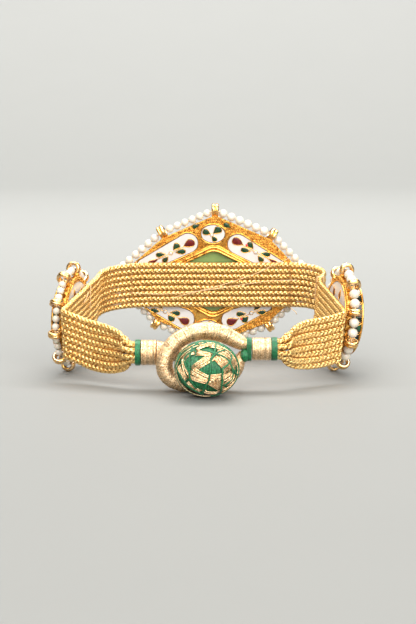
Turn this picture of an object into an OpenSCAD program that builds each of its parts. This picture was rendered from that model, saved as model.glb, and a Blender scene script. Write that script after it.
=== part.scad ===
// Kundan bracelet: a strap of eight plaited cords that carries a lozenge
// medallion and two round ones, closed by a wound loop and a ball button.
// Millimetres, +Z up. The bracelet stands on the edge of its strap: +Y is the
// side of the lozenge medallion, -Y the clasp, and the floor is at Z = 0.

/* [Strap] */
// Diameter of one plaited cord
cord_d = 1.34; // [1.2:0.02:1.36]
// Distance between neighbouring cords where they lie side by side
cord_pitch = 1.45; // [1.42:0.01:1.5]
// Radius of the circle on which the cords meet at a sleeve
bundle_r = 1.84; // [1.8:0.02:2]

/* [Lozenge medallion] */
// Half height of the line of pearls
main_half_h = 17.8; // [17:0.1:18.5]
// Half width of the line of pearls
main_half_w = 26.2; // [26.2:0.1:27]
// Diameter of a pearl on the upper and lower sides, six to a side
main_pearl_d = 2.14; // [1.9:0.02:2.14]
// Diameter of a pearl towards the side corners, seven to a side
corner_pearl_d = 1.98; // [1.8:0.02:1.98]
// Lean of the medallion's top towards the wrist
main_lean = 8.9; // [7:0.1:10]
// Turn of the medallion in its own plane, clockwise from inside the loop
main_turn = 1.2; // [0:0.1:4]

/* [Round medallions] */
// Radius of the line of pearls
side_r = 11.37; // [11:0.01:11.5]
// Diameter of a pearl on the left medallion, three to a gap
left_pearl_d = 1.72; // [1.5:0.02:1.76]
// Diameter of a pearl on the right medallion, two to a gap
right_pearl_d = 2.3; // [2:0.02:2.3]
// Turn of the left medallion's near edge outwards
left_yaw = 13.2; // [10:0.1:15]
// Turn of the right medallion's near edge outwards
right_yaw = 11.5; // [8:0.1:12]

/* [Clasp] */
// Thickness of the wound loop against the table of its radii
loop_size = 1; // [0.9:0.01:1]
// Diameter of the left wound sleeve
left_sleeve_d = 5.6; // [5.3:0.1:5.7]
// Diameter of the right wound sleeve
right_sleeve_d = 5; // [4.9:0.1:5.2]
// Width, depth and height of the ball button
ball_size = [14.2, 12.8, 12.3]; // [12:0.1:14.2]

/* [Hidden] */
$fn = 48;
eps = 0.01;
CORDS = 8;
gap = 0.1;            // between two pieces that lie against each other

// Depths through a medallion, from its plane of pearls, outwards positive
plate_back = -1.3;
plate_front = -0.4;
enamel_proud = 0.2;    // enamel above the plate's back
enamel_t = 0.9;
recess_t = 0.75;       // depth of the recess that holds an enamel
ridge_proud = 0.3;     // stone frame's ridges above the plate's back
through = 5;           // reach of a cut past the metal

// Fronts of the lozenge medallion's frame and of the cups on it
frame_front = 1.7;
cup_front = 1.1;
cup_floor = 0.1;
cup_wall = 0.35;
small_cup_front = 0.7;
small_cup_floor = -0.1;
small_cup_wall = 0.4;
disc_cup_y = 11.8;
disc_cup_r = 2.4;
lug_r = [0.5, 0.8];    // solder lugs: lozenge's side corners, round medallions

// Jump rings round a medallion, which are short tubes of two wires
ring_r = 1.72;
wire_r = 0.46;
main_ring_w = 1.8;
corner_ring_w = 0.96;  // rings at the two side corners
side_ring_w = 1.44;
bore_d = 0.7;         // hole through a pearl
thread_d = 0.4;

// Plan outline of the lozenge medallion, as half sizes
main_mid = [14.4, 11.85];       // middle ring of a side
odd_mid = [13.15, 11.95];       // the same on the upper side at -X
main_plate = [24.5, 16.65];      // plate's half width and half height
main_plate_mid = [13.95, 10.8];
odd_plate_mid = [13, 10.55];
window = [15.4, 7.5];           // stone's window
frame_out = [17.6, 9.1];        // ridged frame round the stone
lozenge_r = [1.2, 3.2];         // their round corners, side and top
lozenge_drop = 0.6;             // how much further down than up they reach

// Places of the three medallions: the middle of the plane of pearls
main_rest = main_half_h * cos(main_turn) * cos(main_lean) + ring_r + 0.03;
main_at = [1.4, 29.1, main_rest];
left_at = [-32.5, 5.7, side_r + ring_r];
right_at = [31.2, 4, side_r + ring_r];
left_lean = 2.5;
right_lean = 6;
left_phase = -4;
right_phase = 4;

// Drum that stands on a round medallion's front
drum_r = 8.4;
drum_front = [2, 3];          // left and right
band_from = 0;                  // back edge of the enamel band round the drum
groove_d = 0.4;                 // depth of the band's groove
rim_h = 0.5;                    // gold rim in front of the band
side_plate_r = 9.7;

// Strap: columns x, y, z of its middle, lean of the row of cords inwards in
// degrees, and how far the row has gathered into a round bundle, 0 to 1
STRAP = [
    [-16.30, -17.5,  8.2,  0, 1],
    [-16.90, -17.5,  8.2,  0, 1],
    [-17.80, -17.3,  8.2,  0, 0.88],
    [-19.20, -16.2,  8.2,  0, 0.55],
    [-22.60, -13.9,  8.4,  0, 0.2],
    [-26.40, -11.3,  8.9, -2, 0],
    [-29.60,  -9.6,  9.9, -4, 0],
    [-31.90,  -8.8, 10.7, -5, 0],
    [-32.80,  -7.7, 11.1, -3, 0],
    [-32.60,  -6.0, 11.4,  0, 0],
    [-32.10,  -3.6, 12.0,  2, 0],
    [-31.10,   0.8, 12.8,  2, 0],
    [-30.00,   5.2, 13.6,  2, 0],
    [-28.90,  10.0, 14.5,  2, 0],
    [-28.10,  13.4, 15.2,  3, 0],
    [-27.35,  16.4, 15.8,  4, 0],
    [-27.10,  19.0, 16.4,  5, 0],
    [-26.30,  21.5, 16.9,  6, 0],
    [-24.50,  23.9, 17.4,  7, 0],
    [-21.50,  25.6, 17.8,  8, 0],
    [-17.00,  26.5, 18.1,  9, 0],
    [-10.00,  26.6, 18.2,  9, 0],
    [  1.00,  26.6, 18.2,  9, 0],
    [ 12.00,  26.6, 18.2,  9, 0],
    [ 21.60,  26.5, 18.2,  9, 0],
    [ 25.40,  25.4, 17.9,  8, 0],
    [ 27.80,  23.2, 17.4,  4, 0],
    [ 28.50,  20.6, 16.8,  0, 0],
    [ 27.80,  18.0, 16.2, -3, 0],
    [ 26.80,  15.6, 15.6, -5, 0],
    [ 26.60,  13.2, 15.0, -6, 0],
    [ 27.05,  10.4, 14.4, -6, 0],
    [ 28.10,   5.0, 13.4, -6, 0],
    [ 29.05,   0.0, 12.4, -6, 0],
    [ 29.90,  -4.4, 11.5, -6, 0],
    [ 30.40,  -7.0, 10.9, -6, 0],
    [ 30.30,  -8.6, 10.5, -5, 0],
    [ 29.00,  -9.7, 10.1, -3, 0],
    [ 26.20, -11.4,  9.6, -1, 0],
    [ 22.40, -13.8,  9.4,  0, 0.15],
    [ 18.90, -16.7,  9.3,  0, 0.5],
    [ 17.10, -18.3,  9.2,  0, 0.88],
    [ 16.00, -18.6,  9.2,  0, 1],
    [ 15.50, -18.6,  9.2,  0, 1]
];
STRAP_STEPS = 1;                // rings from one row to the next
squeeze = 0.12;                 // how much the bound ends are drawn in

// Clasp loop from the upper arm to the lower: columns x, y, z, radius
LOOP = [
    [  9.50, -18.6, 10.3, 1.08],
    [  8.20, -18.6, 10.3, 1.12],
    [  7.20, -18.8, 10.6, 1.50],
    [  5.20, -19.3, 11.7, 1.72],
    [  2.60, -20.2, 13.0, 1.82],
    [ -0.60, -21.0, 13.6, 1.82],
    [ -3.40, -21.6, 13.2, 1.80],
    [ -6.00, -22.0, 12.0, 1.78],
    [ -8.10, -22.3, 10.1, 1.75],
    [ -9.40, -22.4,  7.6, 1.75],
    [ -9.40, -22.2,  5.0, 1.75],
    [ -8.00, -21.7,  3.0, 1.75],
    [ -5.40, -21.2,  2.0, 1.75],
    [ -2.20, -20.8,  1.8, 1.75],
    [  1.40, -20.4,  2.0, 1.72],
    [  4.30, -20.0,  3.0, 1.62],
    [  6.20, -19.4,  4.8, 1.45],
    [  6.90, -18.9,  6.5, 1.25],
    [  7.70, -18.6,  7.7, 1.10],
    [  8.50, -18.6,  7.9, 1.08],
    [  9.50, -18.6,  7.9, 1.08]
];
LOOP_STEPS = 2;
LOOP_SIDES = 12;

// Stem from the left sleeve to the ball: columns x, y, z, radius
STEM = [
    [-11.35, -17.5, 8.2, 2.7],
    [-10.90, -17.5, 8.2, 2.65],
    [-10.20, -17.5, 8.2, 2.5],
    [ -7.60, -16.9, 8.1, 2],
    [ -4.20, -16.4, 7.9, 1.7],
    [ -1.60, -16.8, 7.3, 1.6],
    [ -0.40, -18.4, 6.6, 1.6],
    [ -0.25, -20.0, 6.35, 1.6],
    [ -0.25, -20.8, 6.35, 1.6]
];
STEM_STEPS = 3;
ball_at = [-0.25, -27.4, ball_size[2] / 2 + 0.2];

// Sleeves: the centre of each, and the places along X of its ends and bands
left_sleeve_y = -17.5;
left_sleeve_z = 8.2;
right_sleeve_y = -18.6;
right_sleeve_z = 9.2;
left_sleeve_x = [-14.85, -11.5];
left_band_x = [-16.15, -14.95];
right_sleeve_x = [9.75, 13.85];
right_band_x = [13.95, 15.3];
binding_x = [8.5, 9.6];
band_proud = 0.2;

// Stones on the fronts, as centre and radius
main_small = [[4.5, 13, 1], [20.6, 0, 1.5]];
side_stone_r = 2.4;
petal_r = 1.75;
petal_at = 5.3;
PETALS = 8;
stone_sink = 1;                 // how deep a round medallion's stones sit

// Plaques in the upper and lower halves: round end and tip, as centre and radius
upper_plaque = [[6.2, 9.6, 2.5], [17.1, 3.55, 1.8]];
lower_plaque = [[6, 10.2, 2.55], [14.6, 6.2, 1.5]];
enamel_shift = [-0.4, -1.2];    // sideways, of the upper and lower enamels
disc_up = [12.1, -12.7];        // height of the top and bottom disc
disc_r = [2.95, 2.25];

LEFT = 0;
RIGHT = 1;

// Vectors and curves
function unit(v) = v / norm(v);
function mix(a, b, t) = a + (b - a) * t;
function clampi(i, n) = max(0, min(n - 1, i));

// Catmull-Rom curve through the rows of a table, all columns at once
function curve_point(rows, i, t) =
    let (
        n = len(rows),
        a = rows[clampi(i - 1, n)], b = rows[clampi(i, n)],
        c = rows[clampi(i + 1, n)], d = rows[clampi(i + 2, n)]
    )
    b + 0.5 * t * (c - a + t * (2 * a - 5 * b + 4 * c - d + t * (3 * (b - c) + d - a)));

function curve(rows, steps) = [
    for (i = [0 : len(rows) - 2], s = [0 : steps - 1]) curve_point(rows, i, s / steps),
    rows[len(rows) - 1]
];

// Direction of a line of points at point i, closed or open
function tangent(p, i, closed) =
    let (n = len(p))
    closed ? unit(p[(i + 1) % n] - p[(i + n - 1) % n])
           : unit(p[clampi(i + 1, n)] - p[clampi(i - 1, n)]);

// Tube along points p with radius r[i], kept level with the vector up
module tube(p, r, up, sides, closed = false) {
    n = len(p);
    rings = [
        for (i = [0 : n - 1])
            let (t = tangent(p, i, closed), a = unit(cross(t, up)), b = cross(t, a))
            for (j = [0 : sides - 1])
                let (w = (j + 0.5) * 360 / sides) p[i] + r[i] * (cos(w) * a + sin(w) * b)
    ];
    last = closed ? n - 1 : n - 2;
    walls = [
        for (i = [0 : last], j = [0 : sides - 1])
            let (k = (i + 1) % n, m = (j + 1) % sides)
            [i * sides + j, k * sides + j, k * sides + m, i * sides + m]
    ];
    caps = closed ? [] : [
        [for (j = [0 : sides - 1]) j],
        [for (j = [sides - 1 : -1 : 0]) (n - 1) * sides + j]
    ];
    polyhedron(points = rings, faces = concat(walls, caps), convexity = 6);
}

// Strap
function gathered(k) =
    let (a = 22.5 + 45 * floor(k / 2), side = k % 2 == 0 ? -1 : 1)
    bundle_r * [side * sin(a), cos(a)];

// Middle of cord k at row s of the strap, where dir is the strap's direction.
// The four inner cords stay in the row longer than the outer ones.
function cord_point(s, dir, k) =
    let (
        inward = unit([dir[1], -dir[0], 0]),
        row = (CORDS / 2 - 0.5 - k) * cord_pitch,
        ball = gathered(k),
        rise = mix(row, ball[1], 1 - cos(90 * s[4])),
        out = sin(90 * s[4]),
        shift = ball[0] * (k < 2 || k > 5 ? out : mix(out, pow(out, 8), 0.7))
    )
    [s[0], s[1], s[2]] + inward * (shift + rise * sin(s[3])) + [0, 0, rise * cos(s[3])];

function cord_path(k) =
    let (
        rows = curve(STRAP, STRAP_STEPS),
        plan = [for (s = rows) [s[0], s[1], 0]]
    )
    [for (i = [0 : len(rows) - 1]) cord_point(rows[i], tangent(plan, i, false), k)];

module cord(k) {
    path = cord_path(k);
    color("goldenrod")
        tube(path, [for (s = curve(STRAP, STRAP_STEPS)) cord_d / 2 * (1 - squeeze * s[4])], [0, 0, 1], 8);
}

// Places of the medallions: X along the medallion, Y outwards, Z up
module on_main() {
    translate(main_at) rotate([main_lean, 0, 0]) rotate([0, main_turn, 0]) children();
}

module on_side(side) {
    at = side == LEFT ? left_at : right_at;
    turn = side == LEFT ? 90 - left_yaw : -90 + right_yaw;
    lean = side == LEFT ? left_lean : right_lean;
    translate(at) rotate([0, lean, 0]) rotate([0, 0, turn]) children();
}

// Plan outline made solid between two depths
module slab(from, to) {
    translate([0, to, 0]) rotate([90, 0, 0]) linear_extrude(to - from) children();
}

module mirrored4() {
    for (a = [0, 1], b = [0, 1]) mirror([a, 0, 0]) mirror([0, b, 0]) children();
}

module ellipse(size, grow = 0) {
    scale([size[0] + grow, size[1] + grow]) circle(r = 1);
}

// Jump ring whose axis is X: two wires side by side
module jump_ring(w) {
    rotate([0, 90, 0]) rotate_extrude() {
        for (z = [-1, 1]) translate([ring_r - wire_r, z * (w / 2 - wire_r)]) circle(r = wire_r);
        square_w = w - 2 * wire_r;
        translate([ring_r - wire_r * 1.6, -square_w / 2]) square([wire_r * 1.2, square_w]);
    }
}

// Pearl at the origin with its bore along X
module pearl(d) {
    rotate([0, 90, 0]) rotate_extrude() intersection() {
        circle(d = d);
        translate([bore_d / 2, -d]) square([d, 2 * d]);
    }
}

// Row of n pearls of diameter d in the middle of the stretch from a to b
module pearl_row(a, b, n, d) {
    dir = unit(b - a);
    for (i = [0 : n - 1])
        translate((a + b) / 2 + dir * (i - (n - 1) / 2) * (d + gap))
            rotate([0, -atan2(dir[2], dir[0]), 0]) pearl(d);
}

// Cut stone at three depths: its back, its girdle's front edge and its table
module cut_stone(depths, table) {
    hull() {
        slab(depths[0], depths[1]) children();
        slab(depths[2] - eps, depths[2]) scale([table, table]) children();
    }
}

// Lozenge medallion
MAIN_RING = [
    [0, main_half_h], main_mid, [main_half_w, 0], [main_mid[0], -main_mid[1]],
    [0, -main_half_h], [-main_mid[0], -main_mid[1]], [-main_half_w, 0],
    [-odd_mid[0], odd_mid[1]]
];
MAIN_PEARLS = [6, 7, 7, 6, 6, 7, 7, 6];
ODD_PEARLS = [0, 0, 0, 0, 0, -0.04, 0.06, -0.22];   // how much larger the pearls there are
function main_corner(i) = let (c = MAIN_RING[i % 8]) [c[0], 0, c[1]];

module main_outline() {
    m = main_plate_mid;
    polygon([
        [0, main_plate[1]], m, [main_plate[0], 0], [m[0], -m[1]],
        [0, -main_plate[1]], [-m[0], -m[1]], [-main_plate[0], 0],
        [-odd_plate_mid[0], odd_plate_mid[1]]
    ]);
}

// Lozenge with soft corners, from its half width and its height upwards
module lozenge(half, grow = 0) {
    r = lozenge_r[0];
    bend = lozenge_r[1] - r;
    w = half[0] - 1.6 * r;
    h = half[1] - lozenge_r[1];
    low = h + lozenge_drop;
    offset(r = r + grow, $fn = 24) polygon([
        for (a = [66 : 12 : 114]) [bend * cos(a), h + bend * sin(a)], [-w, 0],
        for (a = [246 : 12 : 294]) [bend * cos(a), bend * sin(a) - low], [w, 0]
    ]);
}

// Plaque with a round end towards the medallion's axis and a narrow tip
module plaque_outline(ends, grow = 0) {
    end = [ends[0][0], ends[0][1]];
    tip = [ends[1][0], ends[1][1]];
    bulge = ends[0][2] - ends[1][2];
    away = atan2(tip[1] - end[1], tip[0] - end[0]);
    offset(r = ends[1][2] + grow, $fn = 24) polygon([
        tip, for (a = [85 : 38 : 275]) end + bulge * [cos(away + a), sin(away + a)]
    ]);
}

// Outline of plaque i, 1 to 4 round the medallion
module plaque(i, grow) {
    low = i > 2;
    translate([enamel_shift[low ? 1 : 0], 0])
        mirror([i == 2 || i == 3 ? 1 : 0, 0, 0]) mirror([0, low ? 1 : 0, 0])
            plaque_outline(low ? lower_plaque : upper_plaque, grow);
}

// Outline of the top disc, 0, or the bottom one, 1
module disc(i, grow) {
    translate([enamel_shift[i], disc_up[i]]) ellipse(disc_r, grow);
}

// Direction along the pearls at each ring of the lozenge
function main_ring_turn(i) =
    let (d = unit(main_corner(i + 1) - main_corner(i + 7))) -atan2(d[2], d[0]);

// Outlines of the cups on the lozenge medallion's front
module small_cups(grow = 0) {
    for (c = main_small) mirrored4() translate([c[0], c[1]]) circle(r = c[2] + grow);
}

module disc_cups(grow = 0) {
    for (s = [-1, 1]) translate([0, s * disc_cup_y]) circle(r = disc_cup_r + grow);
}

module main_cup_outlines() {
    slab(plate_front - eps, cup_front) {
        mirrored4() plaque_outline(upper_plaque, cup_wall);
        disc_cups(small_cup_wall);
    }
    slab(plate_front - eps, small_cup_front) small_cups(small_cup_wall);
}

module main_cup_hollows() {
    slab(cup_floor, through) {
        mirrored4() plaque_outline(upper_plaque, -cup_wall);
        disc_cups();
    }
    slab(small_cup_floor, through) small_cups();
}

// Recesses in the back for the four plaques and the two discs
module main_recesses() {
    slab(plate_back - through, plate_back + recess_t) {
        for (i = [1 : 4]) plaque(i, gap / 2);
        for (i = [0, 1]) disc(i, gap / 2);
    }
}

module main_frame() {
    color("gold") on_main() {
        difference() {
            union() {
                slab(plate_back, plate_front) {
                    main_outline();
                    for (s = [-1, 1]) translate([s * (main_plate[0] + cup_wall), 0]) circle(r = lug_r[0]);
                }
                slab(plate_back - ridge_proud, frame_front) lozenge(frame_out);
                main_cup_outlines();
            }
            slab(plate_back - through, through) lozenge(window);
            main_recesses();
            main_cup_hollows();
        }
        for (i = [0 : 7])
            translate(main_corner(i)) rotate([0, main_ring_turn(i), 0])
                jump_ring(i % 4 == 2 ? corner_ring_w : main_ring_w);
    }
}

// Centre stone: depths of its back, its girdle's front edge and its table
stone_depths = [plate_back + 0.25, 1.3, 2.6];

module main_stone() {
    color("darkseagreen") on_main()
        cut_stone(stone_depths, 0.62) lozenge(window, -gap);
}

module main_plaque(i) {
    color("snow") on_main()
        slab(plate_back - enamel_proud, plate_back - enamel_proud + enamel_t) plaque(i, -gap / 2);
}

module main_disc(i) {
    color("snow") on_main()
        slab(plate_back - enamel_proud, plate_back - enamel_proud + enamel_t) disc(i, -gap / 2);
}

module main_front_stones() {
    big = [cup_floor + gap, cup_front - 2 * gap, cup_front + 0.5];
    small = [small_cup_floor + gap, small_cup_front - 2 * gap, small_cup_front + 0.4];
    middle = (upper_plaque[0] + upper_plaque[1]) / 2;
    top = main_small[0];
    side = main_small[1];
    color("ivory") on_main() {
        for (a = [0, 1], b = [0, 1]) mirror([a, 0, 0]) mirror([0, 0, b])
            translate([middle[0], 0, middle[1]]) cut_stone(big, 0.6)
                translate([-middle[0], -middle[1]]) plaque_outline(upper_plaque, -cup_wall - gap);
        for (s = [-1, 1]) {
            translate([0, 0, s * disc_cup_y])
                cut_stone(big, 0.55) circle(r = disc_cup_r - gap, $fn = 10);
            for (a = [-1, 1]) translate([a * top[0], 0, s * top[1]])
                cut_stone(small, 0.55) circle(r = top[2] - gap, $fn = 8);
            translate([s * side[0], 0, 0])
                cut_stone(small, 0.55) circle(r = side[2] - gap, $fn = 8);
        }
    }
}

module main_pearls() {
    color("seashell") on_main()
        for (i = [0 : 7])
            pearl_row(main_corner(i), main_corner(i + 1), MAIN_PEARLS[i],
                (MAIN_PEARLS[i] == 6 ? main_pearl_d : corner_pearl_d) + ODD_PEARLS[i]);
}

module main_pearl_thread() {
    path = [for (i = [0 : 7]) main_corner(i)];
    color("wheat") on_main() tube(path, [for (p = path) thread_d / 2], [0, 1, 0], 6, true);
}

// Round medallions
RINGS = 10;
function side_corner(side, i) =
    let (a = i * 360 / RINGS + (side == LEFT ? left_phase : right_phase))
    side_r * [(side == LEFT ? -1 : 1) * sin(a), 0, cos(a)];
function side_lug(side, i) = let (c = side_corner(side, i)) side_plate_r / side_r * [c[0], c[2]];
function side_ring_turn(side, i) =
    let (d = unit(side_corner(side, i + 1) - side_corner(side, i - 1))) -atan2(d[2], d[0]);

// Outline of the groove round the drum that holds the green band
module groove_outline() {
    difference() {
        circle(r = drum_r + groove_d);
        circle(r = drum_r - groove_d);
    }
}

// Outlines of the stones on a round medallion's front
module petals(r, sides = 48) {
    for (i = [0 : PETALS - 1])
        rotate(i * 360 / PETALS) translate([petal_at, 0]) circle(r = r, $fn = sides);
}

module side_frame(side) {
    front = drum_front[side];
    color("gold") on_side(side) {
        difference() {
            union() {
                slab(plate_back, plate_front) {
                    circle(r = side_plate_r);
                    for (i = [0 : RINGS - 1]) translate(side_lug(side, i)) circle(r = lug_r[1]);
                }
                slab(plate_front - eps, front) circle(r = drum_r);
            }
            slab(plate_back - through, plate_back + recess_t) circle(r = drum_r + gap / 2);
            slab(band_from - gap / 2, front - rim_h + gap / 2) groove_outline();
            slab(front - stone_sink, front + through) {
                circle(r = side_stone_r + gap);
                petals(petal_r + gap);
            }
        }
        for (i = [0 : RINGS - 1])
            translate(side_corner(side, i)) rotate([0, side_ring_turn(side, i), 0])
                jump_ring(side_ring_w);
    }
}

module side_back_enamel(side) {
    color("snow") on_side(side)
        slab(plate_back - enamel_proud, plate_back - enamel_proud + enamel_t)
            circle(r = drum_r - gap / 2);
}

module side_green_band(side) {
    color("darkgreen") on_side(side) slab(band_from, drum_front[side] - rim_h) difference() {
        circle(r = drum_r);
        circle(r = drum_r - groove_d + gap / 2);
    }
}

module side_front_stones(side) {
    front = drum_front[side];
    back = front - stone_sink + gap;
    color("ivory") on_side(side) {
        cut_stone([back, front + gap, front + 0.9], 0.55) circle(r = side_stone_r, $fn = 10);
        for (i = [0 : PETALS - 1])
            rotate([0, -i * 360 / PETALS, 0]) translate([petal_at, 0, 0])
                cut_stone([back, front + gap, front + 0.6], 0.55) circle(r = petal_r, $fn = 8);
    }
}

module side_pearls(side) {
    n = side == LEFT ? 3 : 2;
    d = side == LEFT ? left_pearl_d : right_pearl_d;
    color("seashell") on_side(side)
        for (i = [0 : RINGS - 1])
            pearl_row(side_corner(side, i), side_corner(side, i + 1), n, d);
}

module side_pearl_thread(side) {
    path = [for (i = [0 : RINGS - 1]) side_corner(side, i)];
    color("wheat") on_side(side) tube(path, [for (p = path) thread_d / 2], [0, 1, 0], 6, true);
}

// Round rod along X at y and z between two places
module rod(x, y, z, d) {
    translate([x[0], y, z]) rotate([0, 90, 0]) cylinder(d = d, h = x[1] - x[0]);
}

module left_sleeve() {
    color("tan") rod(left_sleeve_x, left_sleeve_y, left_sleeve_z, left_sleeve_d);
}

module left_sleeve_band() {
    color("seagreen") rod(left_band_x, left_sleeve_y, left_sleeve_z, left_sleeve_d + band_proud);
}

module right_sleeve() {
    color("tan") rod(right_sleeve_x, right_sleeve_y, right_sleeve_z, right_sleeve_d);
}

module right_sleeve_band() {
    color("seagreen") rod(right_band_x, right_sleeve_y, right_sleeve_z, right_sleeve_d + band_proud);
}

module ball_stem() {
    rows = curve(STEM, STEM_STEPS);
    path = [for (s = rows) [s[0], s[1], s[2]]];
    color("tan") tube(path, [for (s = rows) s[3]], [0, 0, 1], 12);
}

module ball_button() {
    color("seagreen") translate(ball_at) scale(ball_size / 2) sphere(r = 1);
}

module clasp_loop() {
    rows = curve(LOOP, LOOP_STEPS);
    path = [for (s = rows) [s[0], s[1], s[2]]];
    color("tan") tube(path, [for (s = rows) s[3] * loop_size], [0, 1, 0], LOOP_SIDES);
}

module loop_binding() {
    first = LOOP[0];
    last = LOOP[len(LOOP) - 1];
    through = [binding_x[0] - 1, binding_x[1] + 1];
    color("seagreen") difference() {
        hull() for (p = [first, last]) rod(binding_x, p[1], p[2], 2 * p[3] + 0.8);
        hull() for (p = [first, last]) rod(through, p[1], p[2], 2 * p[3] + 0.3);
    }
}

cord(0);  // cord_1
cord(1);  // cord_2
cord(2);  // cord_3
cord(3);  // cord_4
cord(4);  // cord_5
cord(5);  // cord_6
cord(6);  // cord_7
cord(7);  // cord_8
main_frame();
main_stone();
main_plaque(1);  // main_plaque_1
main_plaque(2);  // main_plaque_2
main_plaque(3);  // main_plaque_3
main_plaque(4);  // main_plaque_4
main_disc(0);  // main_top_disc
main_disc(1);  // main_bottom_disc
main_front_stones();
main_pearls();
main_pearl_thread();
side_frame(LEFT);  // left_frame
side_back_enamel(LEFT);  // left_back_enamel
side_green_band(LEFT);  // left_green_band
side_front_stones(LEFT);  // left_front_stones
side_pearls(LEFT);  // left_pearls
side_pearl_thread(LEFT);  // left_pearl_thread
side_frame(RIGHT);  // right_frame
side_back_enamel(RIGHT);  // right_back_enamel
side_green_band(RIGHT);  // right_green_band
side_front_stones(RIGHT);  // right_front_stones
side_pearls(RIGHT);  // right_pearls
side_pearl_thread(RIGHT);  // right_pearl_thread
left_sleeve();
left_sleeve_band();
ball_stem();
ball_button();
right_sleeve();
right_sleeve_band();
loop_binding();
clasp_loop();
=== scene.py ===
"""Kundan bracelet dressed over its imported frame.

Eight plaited cords, a clasp wound with gilt thread, and three medallions with
enamelled backs, stone-set fronts and a border of pearls.
"""

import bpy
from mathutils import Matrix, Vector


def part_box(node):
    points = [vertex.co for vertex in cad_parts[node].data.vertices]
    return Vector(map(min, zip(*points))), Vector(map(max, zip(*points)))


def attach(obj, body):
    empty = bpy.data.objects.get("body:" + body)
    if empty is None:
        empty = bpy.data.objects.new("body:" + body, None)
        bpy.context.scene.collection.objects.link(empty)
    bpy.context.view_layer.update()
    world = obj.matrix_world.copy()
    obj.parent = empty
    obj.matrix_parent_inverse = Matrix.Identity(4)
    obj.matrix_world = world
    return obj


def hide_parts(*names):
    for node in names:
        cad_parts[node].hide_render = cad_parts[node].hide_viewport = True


bl_info = {
    "name": "Kundan Bracelet",
    "version": (1, 0, 0),
    "blender": (4, 5, 0),
    "location": "View3D > Sidebar > Bracelet",
    "description": "Plaits, winds, enamels and grains the bracelet over its frame",
    "category": "Add Mesh",
}

import math

import bpy
import numpy as np
from mathutils import Matrix, Vector

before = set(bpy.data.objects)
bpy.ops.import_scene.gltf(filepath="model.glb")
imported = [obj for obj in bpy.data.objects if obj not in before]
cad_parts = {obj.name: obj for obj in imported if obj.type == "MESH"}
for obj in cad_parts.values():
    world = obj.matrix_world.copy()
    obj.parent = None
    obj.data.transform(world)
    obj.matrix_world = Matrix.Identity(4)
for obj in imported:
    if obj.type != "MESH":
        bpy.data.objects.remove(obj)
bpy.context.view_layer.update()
MM = 0.001

# The strap as the frame has it, in millimetres: x, y, z of its middle, lean of
# the row of cords inwards in degrees, and how far the row has gathered
STRAP = [
    (-16.30, -17.5, 8.2, 0, 1),
    (-16.90, -17.5, 8.2, 0, 1),
    (-17.80, -17.3, 8.2, 0, 0.88),
    (-19.20, -16.2, 8.2, 0, 0.55),
    (-22.60, -13.9, 8.4, 0, 0.2),
    (-26.40, -11.3, 8.9, -2, 0),
    (-29.60, -9.6, 9.9, -4, 0),
    (-31.90, -8.8, 10.7, -5, 0),
    (-32.80, -7.7, 11.1, -3, 0),
    (-32.60, -6.0, 11.4, 0, 0),
    (-32.10, -3.6, 12.0, 2, 0),
    (-31.10, 0.8, 12.8, 2, 0),
    (-30.00, 5.2, 13.6, 2, 0),
    (-28.90, 10.0, 14.5, 2, 0),
    (-28.10, 13.4, 15.2, 3, 0),
    (-27.35, 16.4, 15.8, 4, 0),
    (-27.10, 19.0, 16.4, 5, 0),
    (-26.30, 21.5, 16.9, 6, 0),
    (-24.50, 23.9, 17.4, 7, 0),
    (-21.50, 25.6, 17.8, 8, 0),
    (-17.00, 26.5, 18.1, 9, 0),
    (-10.00, 26.6, 18.2, 9, 0),
    (1.00, 26.6, 18.2, 9, 0),
    (12.00, 26.6, 18.2, 9, 0),
    (21.60, 26.5, 18.2, 9, 0),
    (25.40, 25.4, 17.9, 8, 0),
    (27.80, 23.2, 17.4, 4, 0),
    (28.50, 20.6, 16.8, 0, 0),
    (27.80, 18.0, 16.2, -3, 0),
    (26.80, 15.6, 15.6, -5, 0),
    (26.60, 13.2, 15.0, -6, 0),
    (27.05, 10.4, 14.4, -6, 0),
    (28.10, 5.0, 13.4, -6, 0),
    (29.05, 0.0, 12.4, -6, 0),
    (29.90, -4.4, 11.5, -6, 0),
    (30.40, -7.0, 10.9, -6, 0),
    (30.30, -8.6, 10.5, -5, 0),
    (29.00, -9.7, 10.1, -3, 0),
    (26.20, -11.4, 9.6, -1, 0),
    (22.40, -13.8, 9.4, 0, 0.15),
    (18.90, -16.7, 9.3, 0, 0.5),
    (17.10, -18.3, 9.2, 0, 0.88),
    (16.00, -18.6, 9.2, 0, 1),
    (15.50, -18.6, 9.2, 0, 1),
]

# Clasp loop from the upper arm to the lower, and stem from the left sleeve to
# the ball, as the frame has them: x, y, z, radius
LOOP = [
    (9.50, -18.6, 10.3, 1.08),
    (8.20, -18.6, 10.3, 1.12),
    (7.20, -18.8, 10.6, 1.50),
    (5.20, -19.3, 11.7, 1.72),
    (2.60, -20.2, 13.0, 1.82),
    (-0.60, -21.0, 13.6, 1.82),
    (-3.40, -21.6, 13.2, 1.80),
    (-6.00, -22.0, 12.0, 1.78),
    (-8.10, -22.3, 10.1, 1.75),
    (-9.40, -22.4, 7.6, 1.75),
    (-9.40, -22.2, 5.0, 1.75),
    (-8.00, -21.7, 3.0, 1.75),
    (-5.40, -21.2, 2.0, 1.75),
    (-2.20, -20.8, 1.8, 1.75),
    (1.40, -20.4, 2.0, 1.72),
    (4.30, -20.0, 3.0, 1.62),
    (6.20, -19.4, 4.8, 1.45),
    (6.90, -18.9, 6.5, 1.25),
    (7.70, -18.6, 7.7, 1.10),
    (8.50, -18.6, 7.9, 1.08),
    (9.50, -18.6, 7.9, 1.08),
]
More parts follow.
